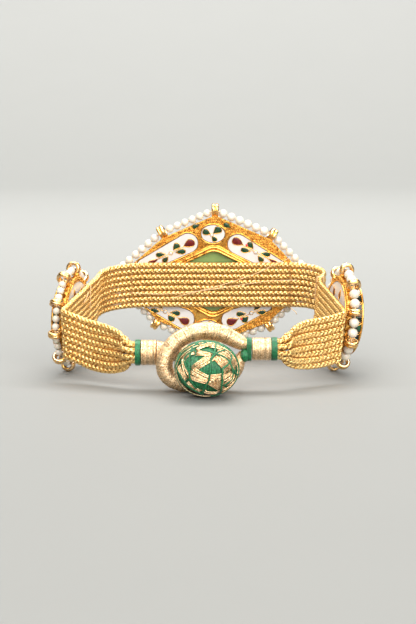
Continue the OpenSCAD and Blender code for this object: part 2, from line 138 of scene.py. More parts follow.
# How far the loop's winding stands out past the frame's loop
LOOP_NAP = 0.1 * MM
STEM = [
    (-11.35, -17.5, 8.2, 2.7),
    (-10.90, -17.5, 8.2, 2.65),
    (-10.20, -17.5, 8.2, 2.5),
    (-7.60, -16.9, 8.1, 2.0),
    (-4.20, -16.4, 7.9, 1.7),
    (-1.60, -16.8, 7.3, 1.6),
    (-0.40, -18.4, 6.6, 1.6),
    (-0.25, -20.0, 6.35, 1.6),
    (-0.25, -20.8, 6.35, 1.6),
]

# Bands of gold strands on the ball as one faces it: start and end, in hundredths
# of its width from the left and of its height from the top, and the strands
BANDS = [
    (28, 49, 61, 26, 7), (63, 24, 85, 53, 9), (26, 51, 56, 68, 6), (54, 65, 81, 62, 6),
    (56, 69, 74, 83, 9), (34, 20, 57, 24, 5), (34, 13, 56, 4, 5), (56, 8, 88, 23, 5),
    (67, 18, 91, 37, 6), (10, 32, 29, 18, 6), (5, 46, 17, 68, 6), (13, 32, 21, 62, 5),
    (19, 75, 40, 91, 5), (21, 63, 56, 74, 4), (47, 91, 67, 93, 4), (61, 75, 77, 89, 6),
    (75, 91, 93, 75, 6), (80, 78, 92, 59, 6), (76, 69, 90, 56, 6), (86, 37, 93, 53, 5),
    (85, 25, 97, 43, 5),
]
# Green threads over the bands, as corners in the same hundredths
OVER = [
    [(64, 5), (62, 18), (57, 32), (55, 51), (53, 69), (45, 85), (44, 96)],
    [(43, 2), (30, 9), (25, 21), (23, 44), (25, 68), (34, 84)],
    [(11, 22), (3, 44), (10, 62), (21, 79), (43, 94)],
    [(31, 16), (16, 30), (19, 47), (25, 58)],
    [(85, 22), (88, 30), (81, 43), (74, 50), (73, 76), (71, 91)],
    [(43, 16), (61, 21), (81, 32), (90, 50), (97, 62)],
    [(56, 32), (66, 21), (79, 16)],
    [(85, 37), (90, 56), (88, 68), (76, 79)],
    [(91, 21), (98, 38), (99, 56), (94, 76), (81, 89), (56, 98)],
    [(37, 8), (56, 2), (69, 4), (81, 15), (94, 30)],
]
# Zigzags of gold strands round the rest of the ball: latitude of the even and of
# the odd corners, in degrees, and the number of strands
ZIGZAGS = [(62, 50, 5), (40, 24, 5), (8, 22, 5), (-6, -22, 5), (-34, -22, 5), (-56, -44, 5)]
# Threads round the ball's rim: how far from its front, in degrees, and whether gold
RIM_THREADS = [(71, True), (75, False), (79, True), (83, False), (88, False)]


class StrapSettings(bpy.types.PropertyGroup):
    """Sizes and colours of the plaited strap and its sewing thread."""

    cord_pitch: bpy.props.FloatProperty(
        name="Cord pitch", description="Distance between neighbouring cords", default=1.45 * MM,
        unit="LENGTH", precision=5)
    bundle_r: bpy.props.FloatProperty(
        name="Bundle", description="Radius of the circle on which the cords meet at a sleeve",
        default=1.84 * MM, unit="LENGTH", precision=5)
    squeeze: bpy.props.FloatProperty(
        name="Squeeze", description="How much the bound ends are drawn in", default=0.12, subtype="FACTOR")
    plait_step: bpy.props.FloatProperty(
        name="Plait repeat", description="Length of one chevron of the plait", default=1.12 * MM,
        unit="LENGTH", precision=5)
    stitch_d: bpy.props.FloatProperty(
        name="Sewing thread", description="Diameter of the sewing thread", default=0.18 * MM,
        unit="LENGTH", precision=5)
    gilt: bpy.props.FloatVectorProperty(
        name="Gilt thread", description="Colour of the plaited thread", default=(0.98, 0.74, 0.32),
        subtype="COLOR")
    # Worn gilt colours the plait's dull flecks, and is also the painted shade on its strands' folded ends
    gilt_shade: bpy.props.FloatVectorProperty(
        name="Worn and shaded gilt", description="Colour of the plait where it is worn, and its painted shade where folded",
        default=(0.55, 0.26, 0.05), subtype="COLOR")


class ClaspSettings(bpy.types.PropertyGroup):
    """Sizes and colours of the wound loop, sleeves, stem and ball."""

    winding: bpy.props.FloatProperty(
        name="Winding", description="Distance between two turns of the wound thread", default=0.2 * MM,
        unit="LENGTH", precision=5)
    champagne: bpy.props.FloatVectorProperty(
        name="Wound thread", description="Colour of the wound gilt thread", default=(0.92, 0.69, 0.42),
        subtype="COLOR")
    champagne_shade: bpy.props.FloatVectorProperty(
        name="Wound thread's shade", description="Its colour between the highlights",
        default=(0.46, 0.25, 0.10), subtype="COLOR")
    green: bpy.props.FloatVectorProperty(
        name="Green thread", description="Colour of the green thread", default=(0.004, 0.165, 0.052),
        subtype="COLOR")
    green_shade: bpy.props.FloatVectorProperty(
        name="Green thread's shade", description="Its colour between the highlights",
        default=(0.001, 0.040, 0.013), subtype="COLOR")
    strand_d: bpy.props.FloatProperty(
        name="Strand", description="Diameter of a gold strand on the ball", default=0.22 * MM,
        unit="LENGTH", precision=5)


class MedallionSettings(bpy.types.PropertyGroup):
    """Sizes and colours of the three medallions."""

    grain_d: bpy.props.FloatProperty(
        name="Grain", description="Diameter of a gold grain on the borders", default=0.5 * MM,
        unit="LENGTH", precision=5)
    outline_d: bpy.props.FloatProperty(
        name="Outline", description="Diameter of the gold line round an enamel cell", default=0.2 * MM,
        unit="LENGTH", precision=5)
    gold: bpy.props.FloatVectorProperty(
        name="Gold", description="Colour of the polished gold", default=(0.86, 0.48, 0.11), subtype="COLOR")
    gold_shade: bpy.props.FloatVectorProperty(
        name="Dull gold", description="Colour of the gold in its hollows", default=(0.34, 0.12, 0.015),
        subtype="COLOR")
    leaf: bpy.props.FloatVectorProperty(
        name="Leaf", description="Colour of the green enamel leaves", default=(0.0005, 0.044, 0.013),
        subtype="COLOR")
    bud: bpy.props.FloatVectorProperty(
        name="Bud", description="Colour of the red enamel buds", default=(0.14, 0.003, 0.005),
        subtype="COLOR")
    enamel: bpy.props.FloatVectorProperty(
        name="White enamel", description="Colour of the enamel ground", default=(0.60, 0.57, 0.55),
        subtype="COLOR")
    stone: bpy.props.FloatVectorProperty(
        name="Centre stone", description="Colour of the milky green stone", default=(0.17, 0.25, 0.085),
        subtype="COLOR")
    pearl: bpy.props.FloatVectorProperty(
        name="Pearl", description="Colour of the pearls", default=(0.58, 0.535, 0.46), subtype="COLOR")


class StageSettings(bpy.types.PropertyGroup):
    """Floor and camera."""

    floor: bpy.props.FloatVectorProperty(
        name="Floor", description="Colour of the floor", default=(0.175, 0.176, 0.167), subtype="COLOR")
    elevation: bpy.props.FloatProperty(
        name="Elevation", description="Camera's height above the horizon", default=math.radians(7.7),
        subtype="ANGLE")
    distance: bpy.props.FloatProperty(
        name="Distance", description="Camera's distance from its aim", default=345 * MM, unit="LENGTH")
    aim: bpy.props.FloatVectorProperty(
        name="Aim", description="Point at the middle of the picture", default=(0, 5.2 * MM, 14.2 * MM),
        subtype="TRANSLATION", precision=5)
    lens: bpy.props.FloatProperty(
        name="Lens", description="Focal length in millimetres for a 36 mm picture height", default=84.1)


def settings(name):
    """The scene's values of one of the property groups."""
    return getattr(bpy.context.scene, name)


# Curves
def smooth(rows, steps):
    """A Catmull-Rom curve through the rows of a table, all columns at once."""
    rows = np.array(rows, float)
    padded = np.vstack([rows[:1], rows, rows[-1:]])
    a, b, c, d = padded[:-3], padded[1:-2], padded[2:-1], padded[3:]
    t = np.arange(steps)[:, None, None] / steps
    curve = b + 0.5 * t * (c - a + t * (2 * a - 5 * b + 4 * c - d + t * (3 * (b - c) + d - a)))
    return np.vstack([curve.transpose(1, 0, 2).reshape(-1, rows.shape[1]), rows[-1:]])


def even(rows, step):
    """Rows a step apart along the line that their first three columns draw."""
    length = np.concatenate([[0], np.cumsum(np.linalg.norm(np.diff(rows[:, :3], axis=0), axis=1))])
    count = max(2, round(length[-1] / step) + 1)
    at = np.linspace(0, length[-1], count)
    return np.column_stack([np.interp(at, length, column) for column in rows.T])


def unit(vectors):
    """Vectors of length one along the last axis."""
    return vectors / np.linalg.norm(vectors, axis=-1, keepdims=True)


def turns(count, start=0.0):
    """Angles at even steps of a full turn, the first of them start steps from zero."""
    return (np.arange(count) + start) * 2 * np.pi / count


def travel(points, up, closed=False):
    """Unit vectors ahead, sideways and upwards at each point of a line."""
    ahead = np.roll(points, -1, 0) - np.roll(points, 1, 0) if closed else np.gradient(points, axis=0)
    ahead = unit(ahead)
    side = unit(np.cross(np.broadcast_to(up, points.shape), ahead))
    return ahead, side, np.cross(ahead, side)


# Shapes
class Shape:
    """Points and faces of one piece, gathered part by part."""

    def __init__(self):
        self.points = []
        self.blocks = []
        self.count = 0

    def add(self, points, blocks, finish=0):
        """Adds a part; each block is an array of faces with one number of corners.

        The finish is a place in the piece's list of them, or a list with one for each block.
        """
        points = np.asarray(points, float).reshape(-1, 3)
        for block, place_in_list in zip(blocks, np.broadcast_to(finish, len(blocks))):
            if len(block):
                self.blocks.append((np.asarray(block, int) + self.count, place_in_list))
        self.points.append(points)
        self.count += len(points)

    def make(self, name, finishes, slot, replaces=()):
        """Makes the piece, riding on the bracelet's one body."""
        mesh = bpy.data.meshes.new(name)
        points = np.concatenate(self.points)
        corners = np.concatenate([block.ravel() for block, _ in self.blocks])
        sides = np.concatenate([np.full(len(block), block.shape[1]) for block, _ in self.blocks])
        starts = np.concatenate([[0], np.cumsum(sides)[:-1]])
        indices = np.concatenate([np.full(len(block), finish) for block, finish in self.blocks])
        mesh.vertices.add(len(points))
        mesh.vertices.foreach_set("co", points.astype(np.float32).ravel())
        mesh.loops.add(len(corners))
        mesh.loops.foreach_set("vertex_index", corners.astype(np.int32))
        mesh.polygons.add(len(sides))
        mesh.polygons.foreach_set("loop_start", starts.astype(np.int32))
        mesh.polygons.foreach_set("material_index", indices.astype(np.int32))
        mesh.polygons.foreach_set("use_smooth", np.ones(len(sides), bool))
        mesh.update(calc_edges=True)
        for finish in finishes:
            mesh.materials.append(material(finish))
        obj = bpy.data.objects.new(name, mesh)
        bpy.context.scene.collection.objects.link(obj)
        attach(obj, "root")
        if replaces:
            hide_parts(*replaces)


def ring_faces(rings, sides, closed=False):
    """Quads between rings of points, and a cap at each end of an open row of rings."""
    i = np.arange(rings if closed else rings - 1)[:, None]
    j = np.arange(sides)[None, :]
    here, ahead, beside = i * sides, (i + 1) % rings * sides, (j + 1) % sides
    corners = np.broadcast_arrays(here + j, here + beside, ahead + beside, ahead + j)
    quads = np.stack(corners, -1).reshape(-1, 4)
    if closed:
        return [quads]
    first = np.arange(sides)[::-1][None, :]
    last = (rings - 1) * sides + np.arange(sides)[None, :]
    return [quads, first, last]


def fan(tip, first, sides):
    """Triangles between a tip and the ring of points that starts at first."""
    j = np.arange(sides)
    return np.column_stack([np.full(sides, tip), first + j, first + (j + 1) % sides])


def copies(blocks, count, size):
    """Faces of a template of a number of points, repeated for each copy of them."""
    step = (np.arange(count) * size)[:, None, None]
    return [(block[None] + step).reshape(-1, block.shape[1]) for block in blocks]


def tube(points, radius, up, sides=8, closed=False, shift=None):
    """Rings round a line; radius and shift along the line may vary with ring and side."""
    ahead, side, rise = travel(points, up, closed)
    angle = turns(sides, 0.5)
    radius = np.asarray(radius, float)
    radius = radius.reshape(-1, 1) if radius.ndim < 2 else radius
    radius = np.broadcast_to(radius, (len(points), sides))
    around = np.cos(angle)[:, None] * side[:, None] + np.sin(angle)[:, None] * rise[:, None]
    rings = points[:, None] + radius[:, :, None] * around
    if shift is not None:
        rings = rings + shift[:, :, None] * ahead[:, None]
    return rings.reshape(-1, 3), ring_faces(len(points), sides, closed)


# Height of a wound thread over one turn. In shares of the distance between turns:
# how far it stands out, how its turns differ in height and lean, how far the bar
# under it is sunk, and how far its ends are tucked in. Then the share of dull turns.
THREAD_PROFILE = np.array([0.0, 0.82, 1.0, 0.82])
PROUD, UNEVEN, LEANING, SUNK, TUCKED = 0.42, 0.09, 0.5, 0.3, 0.6
DULL = 0.3


def wound(shape, points, radius, pitch, up, sides, rng, section=None):
    """A bar wound with thread, each turn standing proud and leaning a little.

    The first finish of the piece is for the bright turns, the second for the dull ones.
    """
    rows = even(np.column_stack([points, radius]), pitch / len(THREAD_PROFILE))
    turn = np.arange(len(rows)) // len(THREAD_PROFILE)
    proud = THREAD_PROFILE[np.arange(len(rows)) % len(THREAD_PROFILE)] * pitch * PROUD
    count = turn[-1] + 1
    swell = rng.normal(0, UNEVEN, count) * pitch
    lean = np.convolve(rng.normal(0, LEANING, count), np.ones(5) / 5, "same") * pitch
    where = rng.uniform(0, 2 * np.pi, count)
    angle = turns(sides, 0.5)
    core = rows[:, 3:4] - pitch * SUNK
    if section is not None:
        core = core * section(angle)[None, :]
    body = core + (proud + swell[turn])[:, None]
    from_end = np.minimum(np.arange(len(rows)), np.arange(len(rows))[::-1]) * pitch / len(THREAD_PROFILE)
    body = body - np.clip(TUCKED * pitch - from_end, 0, None)[:, None]
    shift = lean[turn][:, None] * np.cos(angle[None, :] - where[turn][:, None])
    points, (quads, *caps) = tube(rows[:, :3], body, up, sides, shift=shift)
    dull = np.repeat((rng.random(count) < DULL)[turn[:-1]], sides)
    shape.add(points, [quads[~dull], quads[dull], *caps], [0, 1, 0, 0])


def dome(outline, rise, toward):
    """A low dome over a closed outline, in local points, with its rim sunk a little."""
    centre = outline.mean(0)
    toward = np.asarray(toward, float)
    turning = np.cross(outline - centre, np.roll(outline, -1, 0) - centre).sum(0)
    if turning @ toward < 0:
        outline = outline[::-1]
    levels = [(1.0, -0.4), (0.86, 0.55), (0.5, 0.9)]
    rings = [centre + (outline - centre) * size + toward * rise * height for size, height in levels]
    n = len(outline)
    points = np.vstack(rings + [centre[None] + toward * rise])
    quads = ring_faces(len(rings), n)[0]
    return points, [quads, fan(len(rings) * n, (len(rings) - 1) * n, n), np.arange(n)[None, ::-1]]


def grain_template():
    """A round grain, low on the side where it is soldered."""
    sides, heights = 8, np.radians([-35, 5, 45])
    angle = turns(sides)
    rings = [at_depth(np.cos(h) * polar(angle), -np.sin(h)) for h in heights]
    points = np.vstack(rings + [[[0, -1, 0]]])
    quads, base, _ = ring_faces(len(rings), sides)
    return points, [quads, base, fan(len(points) - 1, (len(rings) - 1) * sides, sides)]


def stamp(template, centres, sizes):
    """Copies of a template's points and faces at many centres, each at its own size."""
    points, blocks = template
    many = centres[:, None] + points[None] * np.asarray(sizes)[:, None, None]
    return many.reshape(-1, 3), copies(blocks, len(centres), len(points))


# Outlines on a medallion, as points (u, v) in its plane
def polar(angle):
    """Points at angles on a circle of radius one."""
    return np.column_stack([np.cos(angle), np.sin(angle)])


def heading(degrees):
    """The point of that circle at one angle in degrees."""
    angle = math.radians(degrees)
    return np.array([math.cos(angle), math.sin(angle)])


def two_circles(a, a_r, b, b_r, count=10):
    """Outline of the hull of two circles."""
    a, b = np.array(a, float), np.array(b, float)
    way = math.atan2(b[1] - a[1], b[0] - a[0])
    open_by = math.acos((a_r - b_r) / np.linalg.norm(b - a))
    round_a = np.linspace(way + open_by, way + 2 * np.pi - open_by, count * 2)
    round_b = np.linspace(way - open_by, way + open_by, count)
    return np.vstack([a + a_r * polar(round_a), b + b_r * polar(round_b)])


def rounded(corners, r, count=6):
    """Outline of a convex polygon, clockwise or not, grown by r with round corners."""
    corners = np.array(corners, float)
    x, y = corners.T
    if np.sum(x * np.roll(y, -1) - np.roll(x, -1) * y) < 0:
        corners = corners[::-1]
    points = []
    for before, here, after in zip(np.roll(corners, 1, 0), corners, np.roll(corners, -1, 0)):
        start = math.atan2(*(here - before)[::-1]) - np.pi / 2
        turn = (math.atan2(*(after - here)[::-1]) - np.pi / 2 - start) % (2 * np.pi)
        angle = np.linspace(start, start + turn, count)
        points.append(here + r * polar(angle))
    return np.vstack(points)


def lozenge(half, grow=0.0):
    """Lozenge with rounded corners, from its half width and half height, grown by a margin."""
    r, bend = LOZENGE_R[0], LOZENGE_R[1] - LOZENGE_R[0]
    w, h = half[0] - 1.6 * r, half[1] - LOZENGE_R[1]
    angle = np.radians(np.arange(66, 115, 12))
    top = np.column_stack([bend * np.cos(angle), h + bend * np.sin(angle)])
    return rounded(np.vstack([top, [(-w, 0)], -top - (0, LOZENGE_DROP), [(w, 0)]]), r + grow)


def ellipse(centre, half, count=28):
    """Outline of an ellipse."""
    return centre + half * polar(turns(count))


def circle(centre, r, count=28):
    """Outline of a circle."""
    return ellipse(centre, (r, r), count)


def leaf(centre, tip_way, length, width, count=18):
    """Outline of a leaf or bud whose tip points tip_way degrees from the first axis."""
    angle = turns(count)
    along = np.cos(angle) * length / 2
    across = np.sin(angle) * np.abs(np.sin(angle / 2)) ** 1.3 * width / 2 * 1.25
    way = math.radians(tip_way)
    turn = np.array([[math.cos(way), math.sin(way)], [-math.sin(way), math.cos(way)]])
    return np.array(centre, float) + np.column_stack([along, across]) @ turn


def past_edge(points, outline):
    """How far each point lies outside a convex outline, negative inside."""
    ahead = unit(np.roll(outline, -1, 0) - outline)
    outward = np.column_stack([ahead[:, 1], -ahead[:, 0]])
    centre = outline.mean(0)
    if np.mean(np.sum((outline - centre) * outward, 1)) < 0:
        outward = -outward
    return np.max(points @ outward.T - np.sum(outline * outward, 1)[None, :], axis=1)


# Places of the medallions, as the frame has them: local X along the medallion,
# Y outwards and Z up, in millimetres
def place(at, *rotations):
    """Matrix that moves local millimetres to the frame's metres."""
    m = Matrix.Translation(Vector(at))
    for degrees, axis in rotations:
        m = m @ Matrix.Rotation(math.radians(degrees), 4, axis)
    return Matrix.Scale(MM, 4) @ m


# Jump rings: outer radius, and radius of the middle of their wire and of the wire
RING_R, RING_WIRE = 1.72, (1.26, 0.46)
SIDE_R = 11.37
MAIN_HALF_H, MAIN_LEAN, MAIN_TURN = 17.8, 8.9, 1.2
MAIN_REST = (MAIN_HALF_H * math.cos(math.radians(MAIN_TURN)) * math.cos(math.radians(MAIN_LEAN))
             + RING_R + 0.03)
PLACES = {
    "main": place((1.4, 29.1, MAIN_REST), (MAIN_LEAN, "X"), (MAIN_TURN, "Y")),
    "left": place((-32.5, 5.7, SIDE_R + RING_R), (2.5, "Y"), (90 - 13.2, "Z")),
    "right": place((31.2, 4, SIDE_R + RING_R), (6, "Y"), (-90 + 11.5, "Z")),
}
PLATE_BACK, PLATE_FRONT, ENAMEL_FACE = -1.3, -0.4, -1.5
DRUM_R, SIDE_PLATE_R = 8.4, 9.7
DRUM_FRONT = {"left": 2.0, "right": 3.0}
MAIN_PLATE = [(0, 16.65), (13.95, 10.8), (24.5, 0), (13.95, -10.8), (0, -16.65), (-13.95, -10.8),
              (-24.5, 0), (-13, 10.55)]
WINDOW, FRAME_OUT = (15.4, 7.5), (17.6, 9.1)
LOZENGE_R, LOZENGE_DROP = (1.2, 3.2), 0.6
UPPER_PLAQUE = ((6.2, 9.6, 2.5), (17.1, 3.55, 1.8))
LOWER_PLAQUE = ((6.0, 10.2, 2.55), (14.6, 6.2, 1.5))
UPPER_SHIFT, LOWER_SHIFT = -0.4, -1.2
DISCS, DISC_R = [(UPPER_SHIFT, 12.1), (LOWER_SHIFT, -12.7)], (2.95, 2.25)
PETALS, PETAL_AT, PETAL_R, SIDE_STONE_R = 8, 5.3, 1.75, 2.4
# Round stones of the lozenge's front: place in one quarter and radius, or place on
# the middle line and radius
TOP_CUP, SIDE_CUP, DISC_CUP = (4.5, 13, 1.0), (20.6, 1.5), (11.8, 2.4)
QUARTERS = [(1, 1), (-1, 1), (-1, -1), (1, -1)]


def into_frame(points, medallion):
    """Local points of a medallion moved to the frame."""
    m = np.array(PLACES[medallion])
    return np.asarray(points) @ m[:3, :3].T + m[:3, 3]


def at_depth(outline, depth):
    """Plane points (u, v) set at a depth behind or before the plane of pearls."""
    return np.column_stack([outline[:, 0], np.full(len(outline), depth), outline[:, 1]])


def plaque_outline(quarter, grow=0.0):
    """Outline of the enamel plaque in one quarter of the lozenge medallion's back."""
    (end, tip), shift = (UPPER_PLAQUE, UPPER_SHIFT) if quarter[1] > 0 else (LOWER_PLAQUE, LOWER_SHIFT)
    return two_circles(end[:2], end[2] + grow, tip[:2], tip[2] + grow) * quarter + (shift, 0)


def cup_outline(quarter):
    """Outline of the long stone's cup in one quarter of the front."""
    end, tip = UPPER_PLAQUE
    return two_circles(end[:2], end[2], tip[:2], tip[2]) * quarter


BACK_FINISHES = ["polished gold", "leaf enamel", "bud enamel", "white enamel", "bright red enamel",
                 "beaten gold", "pale gold", "dark seam"]
FRONT_FINISHES = ["polished gold", "beaten gold"]


class Ornament:
    """Gold wires, grains and enamel cells on one medallion's back or front."""

    # How far the jump rings' wires stand out past the frame's
    ring_skin = 0.012

    def __init__(self, medallion, back):
        self.medallion = medallion
        self.toward = -1.0 if back else 1.0
        self.finishes = BACK_FINISHES if back else FRONT_FINISHES
        self.shape = Shape()

    def add(self, points, blocks, finish="polished gold"):
        """Adds local points, in millimetres, as part of the ornament."""
        self.shape.add(into_frame(points, self.medallion), blocks, self.finishes.index(finish))

    def make(self, name):
        """Makes the ornament as a piece of its own."""
        self.shape.make(name, self.finishes, "gold")

    def wire(self, outline, depth, thickness, finish="polished gold", sides=8, closed=True):
        """A wire along an outline."""
        self.add(*tube(at_depth(outline, depth), thickness / 2, (0, 1, 0), sides, closed), finish)

    def rings(self, corners, ways, widths):
        """The two bright wires of each jump ring."""
        angle = turns(28)
        reach, wire_r = RING_WIRE
        out = np.array([0, 1, 0])
        for corner, way, width in zip(corners, ways, widths):
            way, corner = np.array([way[0], 0, way[1]]), np.array([corner[0], 0, corner[1]])
            hoop = reach * (np.cos(angle)[:, None] * np.cross(way, out) + np.sin(angle)[:, None] * out)
            for side in (-1, 1):
                middle = corner + side * (width / 2 - wire_r) * way
                self.add(*tube(middle + hoop, wire_r + self.ring_skin, way, 10, True), "pale gold")

    def cell(self, outline, depth, finish, line, rise=0.12):
        """An enamel cell with its gold line."""
        self.add(*dome(at_depth(outline, depth), rise, (0, self.toward, 0)), finish)
        if line:
            self.wire(outline, depth, line, sides=5)

    def grains(self, spots, depth, diameter, rng):
        """Gold grains soldered at spots (u, v)."""
        points, blocks = grain_template()
        if self.toward > 0:
            points = points * (1, -1, 1)
            blocks = [block[:, ::-1] for block in blocks]
        sizes = diameter / 2 * rng.uniform(0.75, 1.2, len(spots))
        self.add(*stamp((points, blocks), at_depth(spots, depth), sizes), "beaten gold")


def main_rings():
    """Places of the lozenge's jump rings, the way of their axis and their width."""
    corners = np.array([(0, MAIN_HALF_H), (14.4, 11.85), (26.2, 0), (14.4, -11.85), (0, -MAIN_HALF_H),
                        (-14.4, -11.85), (-26.2, 0), (-13.15, 11.95)])
    widths = [1.8, 1.8, 0.96, 1.8] * 2
    return corners, unit(np.roll(corners, -1, 0) - np.roll(corners, 1, 0)), widths


def side_rings(side):
    """The same for a round medallion."""
    mirror, phase = (-1, -4) if side == "left" else (1, 4)
    count, width = 10, 1.44
    angle = np.radians(np.arange(count) * 36 + phase)
    corners = SIDE_R * np.column_stack([mirror * np.sin(angle), np.cos(angle)])
    return corners, unit(np.roll(corners, -1, 0) - np.roll(corners, 1, 0)), [width] * count


def clear_of(spots, keep_off):
    """Which spots lie outside each outline by at least its own margin."""
    return np.all([past_edge(spots, outline) > margin for outline, margin in keep_off], axis=0)


def scattered(half, spacing, keep, rng):
    """Spots of a loose triangular grid over a half width and height, where keep says so."""
    rows = int(2 * half[1] / (spacing * 0.866)) + 1
    columns = int(2 * half[0] / spacing) + 1
    j, i = np.mgrid[0:rows, 0:columns]
    u = -half[0] + (i + 0.5 * (j % 2)) * spacing
    v = -half[1] + j * spacing * 0.866
    spots = np.column_stack([u.ravel(), v.ravel()])
    spots = spots + rng.uniform(-0.16, 0.16, spots.shape) * spacing
    return spots[keep(spots)]


# Materials
class Finish:
    """A material whose colour, roughness and relief come from noise.

    Each noise starts with the size of its patches in millimetres and its detail.
    """

    def __init__(self, name, inputs):
        self.material = bpy.data.materials.new(name)
        self.material.use_nodes = True
        self.tree = self.material.node_tree
        self.shader = self.tree.nodes["Principled BSDF"]
        for key, value in inputs.items():
            self.shader.inputs[key].default_value = value
        self.place = self.node("ShaderNodeTexCoord").outputs["Object"]

    def node(self, kind, **values):
        """A new node with its inputs set by name."""
        node = self.tree.nodes.new(kind)
        for key, value in values.items():
            node.inputs[key.replace("_", " ")].default_value = value
        return node

    def noise(self, size, detail, socket):
        """Sends noise to an input."""
        noise = self.node("ShaderNodeTexNoise", Scale=1.0 / (size * MM), Detail=detail)
        self.tree.links.new(self.place, noise.inputs["Vector"])
        self.tree.links.new(noise.outputs["Fac"], socket)

    def colour(self, size, detail, low, shade, high, light):
        """Lets the colour vary from a shade at one height of the noise to a light at another."""
        ramp = self.node("ShaderNodeValToRGB")
        self.noise(size, detail, ramp.inputs["Fac"])
        for element, at, colour in zip(ramp.color_ramp.elements, (low, high), (shade, light)):
            element.position = at
            element.color = (*colour, 1.0)
        self.tree.links.new(ramp.outputs["Color"], self.shader.inputs["Base Color"])

    def rough(self, size, detail, low, high):
        """Lets the roughness vary between two values."""
        spread = self.node("ShaderNodeMapRange", From_Min=0.3, From_Max=0.7, To_Min=low, To_Max=high)
        self.noise(size, detail, spread.inputs["Value"])
        self.tree.links.new(spread.outputs["Result"], self.shader.inputs["Roughness"])

    def relief(self, size, detail, height, strength):
        """Adds fine relief of a height in millimetres."""
        bump = self.node("ShaderNodeBump", Strength=strength, Distance=height * MM)
        self.noise(size, detail, bump.inputs["Height"])
        self.tree.links.new(bump.outputs["Normal"], self.shader.inputs["Normal"])


def base(roughness, metallic=0.0, **inputs):
    """Inputs of a shader, by name."""
    inputs = {key.replace("_", " "): value for key, value in inputs.items()}
    return {"Roughness": roughness, "Metallic": metallic, **inputs}


def thread_recipe(light, shade, metallic, roughness, height=0.03, **inputs):
    """Twisted thread: bright and dull flecks, and fibres in its relief."""
    return {
        "inputs": base(roughness, metallic, **inputs),
        "colour": (0.3, 4, 0.36, shade, 0.60, light),
        "rough": (0.8, 2, roughness - 0.1, roughness + 0.12),
        "relief": (0.07, 2, height, 0.6),
    }


def silk_recipe(light, shade):
    """Green silk thread with a little sheen."""
    return thread_recipe(light, shade, 0.0, 0.42, Sheen_Weight=0.05, Sheen_Roughness=0.4)


def enamel_recipe(shade, light, size):
    """Fired enamel: faintly clouded, with a glassy coat."""
    return {
        "inputs": base(0.16, Coat_Weight=0.25, Coat_Roughness=0.05),
        "colour": (size, 2, 0.35, shade, 0.65, light),
        "relief": (1.2, 2, 0.02, 0.4),
    }


def scaled(colour, factor):
    """A colour made darker or lighter."""
    return [factor * c for c in colour]


